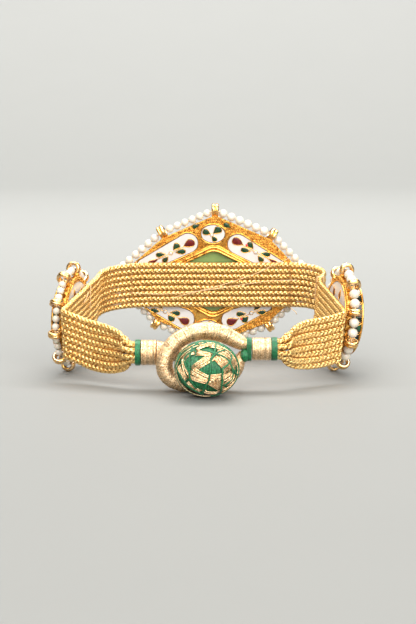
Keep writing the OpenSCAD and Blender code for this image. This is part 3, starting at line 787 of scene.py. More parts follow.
def recipes():
    """What each finish is made of."""
    strap, clasp = settings("bracelet_strap"), settings("bracelet_clasp")
    s, floor = settings("bracelet_medallion"), settings("bracelet_stage").floor
    champagne, champagne_shade = clasp.champagne, clasp.champagne_shade
    warm_pearl = (s.pearl[0], 0.95 * s.pearl[1], 0.86 * s.pearl[2])
    return {
        # Plaited gilt thread, its strands' ends that turn under in painted shade, and the inside dark with
        # painted shade
        "gilt plait": thread_recipe(strap.gilt, strap.gilt_shade, 0.9, 0.4),
        # Painted shade on the strands' ends where they fold under their neighbours
        "shaded gilt fold": thread_recipe(strap.gilt_shade, scaled(strap.gilt_shade, 0.6), 0.9, 0.42),
        # Painted shade for the inside of a cord, seen only between its strands
        "shaded plait core": thread_recipe((0.36, 0.15, 0.025), (0.16, 0.06, 0.01), 0.3, 0.6),
        # Fine gilt thread wound round the clasp, bright or with its gilt worn off
        "bright winding": thread_recipe(champagne, champagne_shade, 0.9, 0.34, 0.06),
        "dull winding": thread_recipe(
            scaled(champagne, 0.72), scaled(champagne_shade, 0.5), 0.8, 0.42, 0.06),
        "gold strand": thread_recipe((1.0, 0.76, 0.46), (0.50, 0.24, 0.08), 0.85, 0.28),
        "bright green": silk_recipe(clasp.green, clasp.green_shade),
        "dull green": silk_recipe(scaled(clasp.green, 0.6), clasp.green_shade),
        # Pale gold sewing thread, and the brownish thread of the seams across the cords
        "sewing thread": thread_recipe((0.85, 0.62, 0.36), (0.50, 0.27, 0.10), 0.3, 0.5),
        "seam thread": thread_recipe((0.50, 0.27, 0.09), (0.26, 0.12, 0.03), 0.3, 0.5),
        # High-carat gold, duller in patches, with a hand-worked surface
        "polished gold": {
            "inputs": base(0.2, 1.0), "colour": (1.6, 5, 0.30, s.gold_shade, 0.48, s.gold),
            "rough": (0.9, 3, 0.12, 0.34), "relief": (0.5, 3, 0.05, 0.5)},
        # Silvery gold of the jump rings
        "pale gold": {
            "inputs": base(0.2, 1.0),
            "colour": (1.2, 3, 0.34, (0.62, 0.50, 0.34), 0.54, (0.98, 0.91, 0.80)),
            "rough": (0.9, 3, 0.12, 0.3), "relief": (0.6, 2, 0.04, 0.4)},
        # Gold foil pressed round the grains, rough and uneven
        "beaten gold": {
            "inputs": base(0.28, 1.0), "colour": (0.7, 5, 0.34, s.gold_shade, 0.56, s.gold),
            "rough": (0.4, 3, 0.18, 0.42), "relief": (0.3, 4, 0.09, 0.8)},
        # Dark line of painted shade where the enamel meets its gold border
        "dark seam": {
            "inputs": base(0.45, 0.4),
            "colour": (0.9, 3, 0.4, (0.10, 0.045, 0.015), 0.62, (0.30, 0.15, 0.05))},
        "white enamel": enamel_recipe(scaled(s.enamel, 0.90), s.enamel, 2.5),
        "leaf enamel": enamel_recipe(scaled(s.leaf, 0.4), s.leaf, 0.6),
        "bud enamel": enamel_recipe(scaled(s.bud, 0.45), s.bud, 0.6),
        "bright red enamel": enamel_recipe((0.55, 0.02, 0.03), (0.8, 0.05, 0.06), 0.5),
        # Almost black green of the drums, with painted glints of brighter green in patches
        "drum enamel": {
            "inputs": base(0.12, Coat_Weight=0.25, Coat_Roughness=0.05),
            "colour": (1.3, 3, 0.5, (0.0005, 0.006, 0.003), 0.7, scaled(s.leaf, 3)),
            "relief": (1.0, 2, 0.04, 0.6)},
        "milky stone": {
            "inputs": base(0.22, Subsurface_Weight=0.15, Subsurface_Scale=1.5 * MM, Coat_Weight=0.3,
                           Coat_Roughness=0.1),
            "colour": (6, 3, 0.3, scaled(s.stone, 0.88), 0.7, scaled(s.stone, 1.12)),
            "relief": (3, 2, 0.02, 0.3)},
        # Flat-cut clear stone over silver foil
        "foiled stone": {
            "inputs": base(0.06, 0.35, Coat_Weight=1.0, Coat_Roughness=0.02),
            "colour": (1.1, 4, 0.35, (0.55, 0.56, 0.55), 0.65, (0.93, 0.93, 0.90)),
            "relief": (1.4, 1, 0.10, 0.6)},
        # Satin pearl with a soft coat
        "pearl lustre": {
            "inputs": base(0.26, Subsurface_Weight=0.12, Subsurface_Scale=0.6 * MM, Coat_Weight=0.5,
                           Coat_Roughness=0.12),
            "colour": (2.6, 2, 0.35, warm_pearl, 0.62, s.pearl),
            "relief": (0.7, 2, 0.03, 0.35)},
        # Smooth pale paper
        "floor": {"inputs": base(0.65), "colour": (40, 2, 0.3, floor, 0.7, scaled(floor, 1.01))},
    }


MATERIALS = {}


def material(name):
    """A finish of the bracelet, made once."""
    if name not in MATERIALS:
        recipe = recipes()[name]
        finish = Finish(name.capitalize(), recipe.pop("inputs"))
        for layer, values in recipe.items():
            getattr(finish, layer)(*values)
        MATERIALS[name] = finish.material
    return MATERIALS[name]


def dress(finish, *nodes):
    """Gives a finish to nodes of the frame."""
    for node in nodes:
        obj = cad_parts[node]
        if not obj.material_slots:
            obj.data.materials.append(material(finish))
        for slot in obj.material_slots:
            slot.material = material(finish)


# Strap
CORDS = 8
# Columns of strands round a cord, a strand's length, width and thickness, and the
# slant of the columns in degrees
COLUMNS = 4
STRAND = (1.75 * MM, 0.74 * MM, 0.46 * MM)
SLANT = 44
# How far a strand is sunk and its ends bend in, in shares of its thickness, and how
# unevenly the strands lie outwards and along the cord
SEATED, BENT = 0.4, 0.3
UNEVEN_OUT, UNEVEN_ALONG = 0.022 * MM, 0.03 * MM
# Half depth and half height of a cord's core, dark with painted shade, against the cord's half height
CORE = (0.42, 0.84)
PLAIT_FINISHES = ["gilt plait", "shaded plait core", "shaded gilt fold"]


def cord_line(k):
    """Middle of cord k, the way towards the wrist and the plait's radius, in metres."""
    s = settings("bracelet_strap")
    rows = smooth(STRAP, 6)
    plan = unit(np.gradient(rows[:, :2], axis=0))
    inward = np.column_stack([plan[:, 1], -plan[:, 0], np.zeros(len(rows))])
    gather = np.clip(rows[:, 4], 0, 1)
    lean = np.radians(rows[:, 3])
    angle, side = math.radians(22.5 + 45 * (k // 2)), -1 if k % 2 == 0 else 1
    row = (CORDS / 2 - 0.5 - k) * s.cord_pitch
    rise = row + (s.bundle_r * math.cos(angle) - row) * (1 - np.cos(np.pi / 2 * gather))
    out = np.sin(np.pi / 2 * gather)
    if 2 <= k <= 5:
        out = 0.3 * out + 0.7 * out ** 8
    shift = s.bundle_r * side * math.sin(angle) * out
    line = rows[:, :3] * MM + inward * (shift + rise * np.sin(lean))[:, None]
    line[:, 2] += rise * np.cos(lean)
    reach = 0.3 * MM
    line[0, 0] += reach
    line[-1, 0] -= reach
    return line, inward, s.cord_pitch / 2 * (1 - s.squeeze * gather)


def strand_template():
    """One strand's visible turn: a spindle along X, one unit long and wide, and its ends, which take the
    painted shade of its folds.
    """
    stations = [(-0.47, 0.7), (-0.32, 0.95), (0, 1), (0.32, 0.95), (0.47, 0.7)]
    sides = 6
    angle = turns(sides)
    rings = [np.column_stack([np.full(sides, x), r * np.cos(angle) / 2, r * np.sin(angle) / 2])
             for x, r in stations]
    points = np.vstack([[[-0.5, 0, 0]]] + rings + [[[0.5, 0, 0]]])
    quads = ring_faces(len(rings), sides)[0][:, ::-1] + 1
    last = len(points) - 1
    return points, [quads[sides:-sides], quads[:sides], quads[-sides:], fan(0, 1, sides),
                    fan(last, last - sides, sides)[:, [0, 2, 1]]]


def cord_section():
    """Section of a flattened cord against its half height, at even steps of its length.

    Columns: depth and height, and the same of the way outwards.
    """
    angle = np.linspace(0, 2 * np.pi, 361)
    depth, height = (np.sign(f) * np.abs(f) ** 0.7 for f in (np.cos(angle), np.sin(angle)))
    section = even(np.column_stack([0.74 * depth, height, 0 * angle]), 0.01)[:, :2]
    ahead = unit(np.gradient(section, axis=0))
    return np.column_stack([section, ahead[:, 1], -ahead[:, 0]])


def plait(shape, k, rng):
    """Cord k as a herringbone plait: slanting strands in columns round a core."""
    s = settings("bracelet_strap")
    line, inward, radius = cord_line(k)
    rows = even(np.column_stack([line, inward, radius]), s.plait_step)
    middle, r = rows[:, :3], rows[:, 6]
    ahead = unit(np.gradient(middle, axis=0))
    side = unit(rows[:, 3:6] - np.sum(rows[:, 3:6] * ahead, 1, keepdims=True) * ahead)
    rise = np.cross(ahead, side)
    column = np.arange(COLUMNS)
    where = (column + 0.5) / COLUMNS
    slant = np.where(column % 2 == 0, 1.0, -1.0) * math.radians(SLANT)
    template, blocks = strand_template()
    length, width, thick = STRAND
    section = cord_section()
    around = np.linspace(0, 1, len(section))
    perimeter = np.sum(np.linalg.norm(np.diff(section[:, :2], axis=0), axis=1))
    u, v, w = template[:, 0] * length, template[:, 1] * width, template[:, 2] * thick
    n = len(middle)
    along = u[None, :] * np.cos(slant)[:, None] - v[None, :] * np.sin(slant)[:, None]
    across = u[None, :] * np.sin(slant)[:, None] + v[None, :] * np.cos(slant)[:, None]
    seat = r[:, None, None] - thick * SEATED + rng.normal(0, UNEVEN_OUT, (n, COLUMNS, 1))
    at = (where[None, :, None] + across[None] / (seat * perimeter)) % 1
    depth, height, out_depth, out_height = (np.interp(at, around, values) for values in section.T)
    proud = (w - BENT * thick * np.abs(2 * template[:, 0]) ** 4)[None, None, :]
    along = along[None] + rng.normal(0, UNEVEN_ALONG, (n, COLUMNS, 1))
    along = along + (column % 2 * s.plait_step / 2)[None, :, None]
    points = (middle[:, None, None] + ahead[:, None, None] * along[..., None]
              + side[:, None, None] * (seat * depth + proud * out_depth)[..., None]
              + rise[:, None, None] * (seat * height + proud * out_height)[..., None])
    # The strands' ends take the third finish: painted shade where they fold under
    shape.add(points, copies(blocks, n * COLUMNS, len(template)), [0, 2, 2, 2, 2])
    sides = 12
    turn = turns(sides, 0.5)
    core = 1 / np.hypot(np.cos(turn) / CORE[0], np.sin(turn) / CORE[1])
    # The core, dark with painted shade, shows only in the gaps between strands
    shape.add(*tube(middle, r[:, None] * core[None, :], (0, 0, 1), sides), 1)


# Row of the strap's table in the middle of its far stretch, and how deep the
# grooves between its cords are, in millimetres
FAR_ROW, GROOVE = 22, 0.2


def on_far_strap(x, z, proud=0.0):
    """A point on the inner face of the strap's far stretch, in millimetres."""
    s = settings("bracelet_strap")
    _, y, middle, lean, _ = STRAP[FAR_ROW]
    pitch, height = s.cord_pitch / MM, z - middle
    crest = math.cos(2 * math.pi * height / pitch + math.pi)
    return x, y - pitch / 2 - GROOVE / 2 * (1 + crest) - height * math.tan(math.radians(lean)) - proud, z


def lining(shape):
    """Cord in the core's painted shade on the wrist's side of the gaps that open as the cords gather."""
    lines = [cord_line(k) for k in range(CORDS)]
    rows = smooth(STRAP, 6)
    for end in (rows[:, 0] < 0, rows[:, 0] > 0):
        at = np.flatnonzero(end & (rows[:, 1] < -9) & (rows[:, 4] > 0.02) & (rows[:, 4] < 0.97))
        for (above, inward, _), (below, _, _) in zip(lines[1:-2], lines[2:-1]):
            line = (above + below)[at] / 2 + inward[at] * 0.25 * MM
            shape.add(*tube(even(line, 0.4 * MM), 0.42 * MM, (0, 0, 1), 8), 1)


class BRACELET_OT_cords(bpy.types.Operator):
    """Plaits the eight cords of the strap"""

    bl_idname = "bracelet.cords"
    bl_label = "Plait the cords"

    def execute(self, context):
        for k in range(CORDS):
            shape = Shape()
            plait(shape, k, np.random.default_rng(100 + k))
            if k == CORDS // 2:
                lining(shape)
            shape.make(f"plaited_cord_{k + 1}", PLAIT_FINISHES, "gold_cord", [f"cord_{k + 1}"])
        return {"FINISHED"}


# Sewing on the far stretch of the strap, as (x, z) in millimetres. A seam is two
# rows of thread, one at each of the offsets.
LONG_STITCH = [(20.4, 25.2), (16.5, 23.4), (12.7, 21.5), (5.3, 18.9), (-1.0, 17.0), (-8.4, 15.0),
               (-8.8, 14.4)]
LOW_STITCH = [(-19.8, 16.2), (-11.0, 15.9), (-2.6, 16.7), (8.3, 18.3), (15.0, 19.2), (22.3, 19.5)]
SEAMS, SEAM_OFFSETS = [-19.1, 20.5], (-0.22, 0.12)
SEAM_SPAN, SEAM_STEP = (12.3, 23.6), 0.36
TAIL = [(20.6, 12.6), (21.2, 12.0), (22.0, 11.4), (22.2, 10.8)]
TIE = [(-17.9, 24.4), (-17.6, 23.2), (-17.8, 22.0)]
# Where the round medallions are sewn on, as (x, y) of the strap's middle
TIES = {-1: (-29.1, 9.4), 1: (27.5, 15.6)}
# A tie's knot: x, how far before the tie, and height in shares of the strap's half
TIE_KNOT = (29.4, 4.4, 0.35)


def thread(shape, points, diameter, slack=0.0, finish=0):
    """A sewing thread through points in millimetres."""
    line = even(smooth(points, 8) * MM, 0.25 * MM)
    line[:, 2] += np.sin(np.linspace(0, 9, len(line))) * slack * MM
    shape.add(*tube(line, diameter / 2, (0, 1, 0.2), 6), finish)


class BRACELET_OT_stitches(bpy.types.Operator):
    """Sews the strap together and leaves the thread's tails"""

    bl_idname = "bracelet.stitches"
    bl_label = "Sew the strap"

    def execute(self, context):
        d = settings("bracelet_strap").stitch_d
        shape = Shape()
        for route in (LONG_STITCH, LOW_STITCH):
            thread(shape, [on_far_strap(x, z, 0.24) for x, z in smooth(route, 4)], d, 0.05)
        for x in SEAMS:
            for offset in SEAM_OFFSETS:
                z = np.arange(*SEAM_SPAN, SEAM_STEP)
                route = [on_far_strap(x + offset + 0.1 * math.sin(4 * q), q, 0.1) for q in z]
                thread(shape, route, d * 0.9, 0, 1)
        thread(shape, [on_far_strap(x, z, 0.3 + 0.3 * i) for i, (x, z) in enumerate(TAIL)], d)
        thread(shape, [on_far_strap(x, z, 0.3) for x, z in TIE], d)
        for side, place_xy in TIES.items():
            self.tie(shape, side, place_xy, d)
        shape.make("sewing_threads", ["sewing thread", "seam thread"], "pearl_thread")
        return {"FINISHED"}

    def tie(self, shape, side, place_xy, d):
        """Threads round the strap where a round medallion is sewn on."""
        rows = smooth(STRAP, 6)
        here = rows[np.argmin(np.abs(rows[:, :2] - place_xy).sum(1))]
        s = settings("bracelet_strap")
        half = CORDS / 2 * s.cord_pitch / MM
        deep = s.cord_pitch / MM / 2 + 0.12
        count = 25
        angle = np.linspace(0, 2 * np.pi, count)
        lean = math.radians(here[3])
        for offset in (-0.25, 0.2):
            up = np.sign(np.sin(angle)) * (half - 0.5) + np.sin(angle) * 0.62
            inward = np.cos(angle) * deep * -side
            points = np.column_stack([
                here[0] + inward - side * up * math.sin(lean),
                np.full(count, here[1] + offset) + up * 0.05,
                here[2] + up * math.cos(lean)])
            thread(shape, points, d)
        top = (here[0], here[1], here[2] + half * 0.8)
        x, before, share = TIE_KNOT
        knot = (side * x, here[1] - before, here[2] + half * share)
        sag = ((top[0] + knot[0]) / 2 - side * 0.7, (top[1] + knot[1]) / 2, top[2] - 0.9)
        thread(shape, [top, sag, knot], d)


# Clasp
def box_line(node):
    """The line along X through a node's box, and half its height, in metres."""
    low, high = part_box(node)
    middle = (low + high) / 2
    count = 12
    x = np.linspace(low.x, high.x, count)
    line = np.column_stack([x, np.full(count, middle.y), np.full(count, middle.z)])
    return line, np.full(count, (high.z - low.z) / 2)


class BRACELET_OT_sleeves(bpy.types.Operator):
    """Winds the sleeves, their green bands and the stem"""

    bl_idname = "bracelet.sleeves"
    bl_label = "Wind the sleeves"

    def execute(self, context):
        pitch = settings("bracelet_clasp").winding
        rng = np.random.default_rng(21)
        for node, finish, slot in [
            ("left_sleeve", "winding", "gold_thread"), ("right_sleeve", "winding", "gold_thread"),
            ("left_sleeve_band", "green", "green_thread"), ("right_sleeve_band", "green", "green_thread"),
        ]:
            shape = Shape()
            line, radius = box_line(node)
            wound(shape, line, radius, pitch, (0, 0, 1), 32, rng)
            shape.make(f"wound_{node}", [f"bright {finish}", f"dull {finish}"], slot, [node])
        rows = smooth(STEM, 6)
        shape = Shape()
        wound(shape, rows[:, :3] * MM, rows[:, 3] * MM, pitch, (0, 0, 1), 24, rng)
        shape.make("wound_ball_stem", ["bright winding", "dull winding"], "gold_thread", ["ball_stem"])
        return {"FINISHED"}


def racetrack(half, r):
    """Reach of a shape with straight sides and round ends, against its round ends' radius."""
    def reach(angle):
        up, side = np.abs(np.sin(angle)), np.abs(np.cos(angle))
        straight = r / np.maximum(side, 1e-6)
        ends = half * up + np.sqrt(np.maximum(r * r - (half * side) ** 2, 0))
        return np.where(straight * up <= half, straight, ends) / r
    return reach


# Knot of the binding, in millimetres: its two ends from the binding's left end, its
# middle before the binding's and above the binding's foot, and its radius
KNOT_ENDS, KNOT_BEFORE, KNOT_ABOVE, KNOT_R = (-1.5, 0.6), 0.5, 1.4, 1.5


class BRACELET_OT_loop(bpy.types.Operator):
    """Winds the clasp's loop and the green thread that binds its arms"""

    bl_idname = "bracelet.loop"
    bl_label = "Wind the loop"

    def execute(self, context):
        pitch = settings("bracelet_clasp").winding
        rng = np.random.default_rng(31)
        rows = smooth(LOOP, 6)
        shape = Shape()
        wound(shape, rows[:, :3] * MM, rows[:, 3] * MM + LOOP_NAP, pitch, (0, 1, 0), 24, rng)
        shape.make("wound_loop", ["bright winding", "dull winding"], "gold_thread", ["clasp_loop"])
        low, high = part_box("loop_binding")
        middle = (low + high) / 2
        r = (high.y - low.y) / 2
        half = (high.z - low.z) / 2 - r
        line, radius = box_line("loop_binding")
        shape = Shape()
        wound(shape, line, np.full(len(radius), r), pitch, (0, 0, 1), 40, rng, section=racetrack(half, r))
        count = 14
        knot_x = np.linspace(low.x + KNOT_ENDS[0] * MM, low.x + KNOT_ENDS[1] * MM, count)
        swell = np.sqrt(np.clip(1 - np.linspace(-1, 1, count) ** 2, 0.02, 1))
        knot = np.column_stack([
            knot_x, np.full(count, middle.y - KNOT_BEFORE * MM), np.full(count, low.z + KNOT_ABOVE * MM)])
        wound(shape, knot, swell * KNOT_R * MM, pitch, (0, 0, 1), 24, rng)
        shape.make("wound_binding", ["bright green", "dull green"], "green_thread", ["loop_binding"])
        return {"FINISHED"}


class Ball:
    """The ball button's surface, in longitude from the front and latitude."""

    # How near to its rim, in shares of its radius, a spot seen from the front may be
    rim = 0.985

    def __init__(self):
        low, high = (np.array(v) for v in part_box("ball_button"))
        self.middle, self.half = (low + high) / 2, (high - low) / 2

    def way(self, lon, lat):
        """Unit direction of a longitude and latitude in degrees."""
        lon, lat = np.radians(lon), np.radians(lat)
        return np.stack([np.cos(lat) * np.sin(lon), -np.cos(lat) * np.cos(lon), np.sin(lat) + 0 * lon], -1)

    def lay(self, way, lift):
        """Points on the ball in the directions given, lifted off it."""
        return self.middle + way * (self.half + np.asarray(lift)[..., None])

    def facing(self, spots):
        """Unit directions of spots on the side that faces the camera."""
        tilt = settings("bracelet_stage").elevation
        x, z = (np.array(spots, float).T - 50) / 50 * np.array([[1], [-1]])
        reach = np.maximum(np.hypot(x, z), 1e-9)
        x, z = (v / reach * np.minimum(reach, self.rim) for v in (x, z))
        near = np.sqrt(1 - x * x - z * z)
        cos, sin = math.cos(tilt), math.sin(tilt)
        return np.stack([x, z * sin - near * cos, z * cos + near * sin], -1)


class BRACELET_OT_ball(bpy.types.Operator):
    """Covers the ball button with green thread and gold zigzags"""

    bl_idname = "bracelet.ball"
    bl_label = "Wind the ball"
    # Turns of the green ground, and the zigzags' corners in degrees of longitude
    turn_count = 120
    corner_step = 36
    first_corner = 90
    # Lift, in millimetres, of the ground, the lowest strands, each further layer of
    # them, the green threads over them and the threads round the rim
    ground_lift, strand_lift, layer_lift, over_lift, rim_lift = -0.80, -0.40, 0.07, -0.13, -0.16
    # Distance of two strands of a band, and the radii of the green threads and of the
    # green and gold threads round the rim, in diameters of a strand
    spacing, over_r, rim_green_r, rim_gold_r = 1.34, 0.52, 0.62, 0.42

    def execute(self, context):
        s = settings("bracelet_clasp")
        rng = np.random.default_rng(41)
        ball = Ball()
        shape = Shape()
        self.ground(shape, ball, rng)
        for n, (x0, y0, x1, y1, strands) in enumerate(BANDS):
            self.band(shape, ball, ball.facing([(x0, y0), (x1, y1)]), strands, s.strand_d, n % 3, rng)
        for n, (even_lat, odd_lat, strands) in enumerate(ZIGZAGS):
            for i in range(180 // self.corner_step):
                lon = self.first_corner + self.corner_step * i
                lats = (even_lat, odd_lat) if i % 2 == 0 else (odd_lat, even_lat)
                ends = ball.way(np.array([lon, lon + self.corner_step]), np.array(lats))
                self.band(shape, ball, ends, strands, s.strand_d, n % 3, rng)
        self.over_threads(shape, ball, s.strand_d, rng)
        shape.make("wound_ball", ["bright green", "gold strand"], "green_thread", ["ball_button"])
        return {"FINISHED"}

    def ground(self, shape, ball, rng):
        """Green thread wound from pole to pole."""
        samples = len(THREAD_PROFILE)
        lon = np.arange(self.turn_count * samples) * 360 / (self.turn_count * samples)
        lat = np.linspace(-88, 88, 45)
        proud = THREAD_PROFILE[np.arange(len(lon)) % samples] * 0.2 * MM
        thread_swell = np.repeat(rng.normal(0, 0.06 * MM, self.turn_count), samples)
        sway = np.repeat(rng.normal(0, 1.2, self.turn_count), samples)
        fade = np.cos(np.radians(lat))[:, None]
        lon = lon[None, :] + sway[None, :] * np.sin(np.radians(3 * lat))[:, None]
        way = ball.way(lon, lat[:, None] + 0 * lon)
        lift = (proud + thread_swell)[None, :] * fade + self.ground_lift * MM
        shape.add(ball.lay(way, lift), ring_faces(*lift.shape))

    def band(self, shape, ball, ends, strands, strand_d, layer, rng):
        """Gold strands side by side between two directions on the ball."""
        t = np.linspace(-0.04, 1.04, 10)[:, None]
        way = unit(ends[0] * (1 - t) + ends[1] * t)
        across = unit(np.cross(way, ends[1] - ends[0]))
        for strand in range(strands):
            offset = (strand - (strands - 1) / 2) * strand_d * self.spacing + rng.normal(0, 0.04 * MM)
            tilt = rng.normal(0, 0.1 * MM) * np.linspace(-1, 1, len(way))
            beside = unit(way + across * ((offset + tilt) / ball.half[0])[:, None])
            lift = (self.layer_lift * layer + self.strand_lift) * MM + rng.normal(0, 0.06 * MM)
            lift = lift - np.abs(np.linspace(-1, 1, len(way))) ** 8 * 0.2 * MM
            self.strand(shape, ball.lay(beside, lift), strand_d / 2, beside, True)

    def over_threads(self, shape, ball, strand_d, rng):
        """Single green threads over the bands, and threads round the rim."""
        for route in OVER:
            ways = ball.facing(route)
            for turn in (1, -1):
                way = unit(smooth(ways * (turn, turn, 1), 6))
                for offset in (-0.09, 0.09):
                    across = np.cross(way, unit(np.gradient(way, axis=0)))
                    beside = unit(way + across * offset * MM / ball.half[0])
                    points = ball.lay(beside, self.over_lift * MM)
                    self.strand(shape, points, strand_d * self.over_r, beside, False)
        for n, (open_by, gold) in enumerate(RIM_THREADS):
            angle = np.radians(np.linspace(0, 360, 73))
            tilt = rng.normal(0, 2.5, 2)
            wide = np.radians(open_by + 2.0 * np.sin(angle * 2 + n))
            way = unit(np.stack([np.sin(wide) * np.cos(angle),
                                 -np.cos(wide) + np.radians(tilt[0]) * np.cos(angle),
                                 np.sin(wide) * np.sin(angle) + np.radians(tilt[1])], -1))
            radius = strand_d * (self.rim_gold_r if gold else self.rim_green_r)
            self.strand(shape, ball.lay(way, self.rim_lift * MM), radius, way, gold)

    def strand(self, shape, points, radius, up, gold):
        """One strand as a slim tube, gold or green."""
        shape.add(*tube(points, radius, up, 5), int(gold))


# Lozenge medallion
# Sprig of a plaque: place along and across its axis from the middle of its round
# end, way of the tip in degrees from the axis, length, width and finish
SPRIG = [
    (-0.2, 0.1, 0, 3.0, 2.3, "bud enamel"),
    (3.0, 0.9, -24, 2.1, 1.7, "leaf enamel"),
    (2.6, -0.75, 19, 2.5, 1.55, "leaf enamel"),
    (7.3, 0.9, 200, 2.4, 1.45, "leaf enamel"),
    (6.8, -0.75, 156, 2.0, 1.4, "leaf enamel"),
    (9.85, 0.25, 180, 3.1, 1.1, "bud enamel"),
]
SPRIG_DOT = (4.95, 0.05, 0.45)
SPRIG_STEM = [(1.2, 0.05), (2.6, 0.1), (4.5, 0.05), (5.9, 0.1), (7.4, 0.15), (8.4, 0.2)]
RED_SPOT = (2.1, 0.5, 0.36)
# Shift of the sprig along and across, for each quarter of the back
SPRIG_SHIFT = {(1, 1): (0, 0.4), (-1, 1): (0.1, -0.35), (-1, -1): (0.2, 0.35), (1, -1): (0.3, 0.3)}
# White dot of a disc, from the disc's middle, and the three leaves round it: way in
# degrees, reach, length and width
TREFOIL_DOT = (-0.33, -0.31)
TREFOIL = [(153, 1.40, 2.1, 1.75), (41, 1.75, 2.4, 2.1), (-56, 1.05, 1.8, 1.35)]
# Dark leaves beside the upper disc: place, way of the tip, length and width
DARK_SPOTS = [(-4.65, 14.0, 24, 2.0, 1.2), (3.1, 14.2, -30, 2.0, 1.25)]
# Gold rims of the centre stone's frame: edge, growth, how far proud of the plate's
# back and thickness. Then those of the front, with their depth in place of the third.
STONE_RIMS = [(FRAME_OUT, -0.42, 0.4, 0.62), (WINDOW, 0.32, 0.4, 0.56), (FRAME_OUT, -0.02, 0.1, 0.34)]
FRONT_RIMS = [(WINDOW, 0.2, 1.75, 0.5), (FRAME_OUT, -0.25, 1.7, 0.4)]
# Depths of the enamel pictures and of the borders round the enamels. Then the
# growth and thickness of a gold border and of the dark line of painted shade inside it.
PICTURE, BORDER = ENAMEL_FACE - 0.02, PLATE_BACK - 0.18
GOLD_BORDER, DARK_BORDER = (0.26, 0.36), (0.02, 0.16)


def sprig(ornament, quarter, line):
    """The enamel sprig on one plaque."""
    upper = quarter[1] > 0
    end, tip = np.array(UPPER_PLAQUE if upper else LOWER_PLAQUE)[:, :2]
    ahead = unit(tip - end)
    beside = np.array([-ahead[1], ahead[0]])
    shift = (UPPER_SHIFT if upper else LOWER_SHIFT, 0)
    along, across = SPRIG_SHIFT[quarter]
    start = end + ahead * along + beside * across

    def spot(x, y):
        return start + ahead * x + beside * y

    slope = math.degrees(math.atan2(ahead[1], ahead[0]))
    for x, y, way, length, width, finish in SPRIG if upper else SPRIG[:-1]:
        outline = leaf(spot(x, y), slope + way, length, width) * quarter + shift
        ornament.cell(outline, PICTURE, finish, line)
    x, y, r = SPRIG_DOT
    ornament.cell(circle(spot(x, y), r, 14) * quarter + shift, PICTURE, "white enamel", line, 0.2)
    if quarter[0] > 0:
        x, y, r = RED_SPOT
        red = circle(spot(x, y), r, 12) * quarter + shift
        ornament.cell(red, PICTURE, "bright red enamel", 0)
    stem = [(*spot(x, y), 0) for x, y in (SPRIG_STEM if upper else SPRIG_STEM[:-1])]
    ornament.wire(smooth(stem, 3)[:, :2] * quarter + shift, PICTURE, line * 0.9, sides=5, closed=False)


class BRACELET_OT_lozenge_back(bpy.types.Operator):
    """Enamels and grains the back of the lozenge medallion"""

    bl_idname = "bracelet.lozenge_back"
    bl_label = "Enamel the lozenge"
    border_width = 2.7

    def execute(self, context):
        s = settings("bracelet_medallion")
        rng = np.random.default_rng(51)
        line = s.outline_d / MM
        dress("white enamel", "main_plaque_1", "main_plaque_2", "main_plaque_3", "main_plaque_4",
              "main_top_disc", "main_bottom_disc")
        dress("polished gold", "main_frame")
        dress("milky stone", "main_stone")
        o = Ornament("main", True)
        for quarter in QUARTERS:
            sprig(o, quarter, line)
        # A gold border round each enamel, and inside it a dark line of painted shade for the gap
        for (grow, thick), finish in [(GOLD_BORDER, "polished gold"), (DARK_BORDER, "dark seam")]:
            for quarter in QUARTERS:
                o.wire(plaque_outline(quarter, grow), BORDER, thick, finish)
            for centre in DISCS:
                o.wire(ellipse(centre, np.add(DISC_R, grow + 0.02)), BORDER, thick, finish)
        for centre in DISCS:
            self.trefoil(o, centre, line)
        for edge, grow, proud, thick in STONE_RIMS:
            o.wire(lozenge(edge, grow), PLATE_BACK - proud, thick)
        for u, v, way, length, width in DARK_SPOTS:
            o.cell(leaf((u, v), way, length, width), PLATE_BACK - 0.2, "leaf enamel", 0)
        self.border(o, rng, s.grain_d / MM)
        o.rings(*main_rings())
        o.make("lozenge_back")
        return {"FINISHED"}

    def trefoil(self, o, centre, line):
        """Three leaves round a white dot."""
        side = 1 if centre[1] > 0 else -1
        dot = np.array(centre) + np.array(TREFOIL_DOT) * (1, side)
        for way, reach, length, width in TREFOIL:
            spot = dot + reach * heading(way * side)
            o.cell(leaf(spot, way * side + 180, length, width), PICTURE, "leaf enamel", line)
        o.cell(circle(dot, 0.36, 14), PICTURE, "white enamel", line, 0.2)

    def border(self, o, rng, grain):
        """Grains along the border, clear of the enamels and the stone's frame."""
        plate = np.array(MAIN_PLATE, float)
        keep_off = [(plaque_outline(q), 0.42) for q in QUARTERS]
        keep_off += [(ellipse(centre, DISC_R), 0.42) for centre in DISCS]
        keep_off.append((lozenge(FRAME_OUT), 0.12))
        keep_off += [(leaf(spot[:2], *spot[2:]), 0.1) for spot in DARK_SPOTS]

        def keep(spots):
            inside = -past_edge(spots, plate)
            return (inside > 0.12) & (inside < self.border_width) & clear_of(spots, keep_off)

        spots = scattered((25, 17), grain * 0.95, keep, rng)
        o.grains(spots, PLATE_BACK + 0.04, grain, rng)
        closed = np.vstack([plate, plate[:1]]) * 0.992
        edge = even(np.column_stack([closed, np.zeros(len(closed))]), grain * 0.9)[:, :2]
        o.grains(edge, PLATE_BACK + 0.1, grain * 1.15, rng)


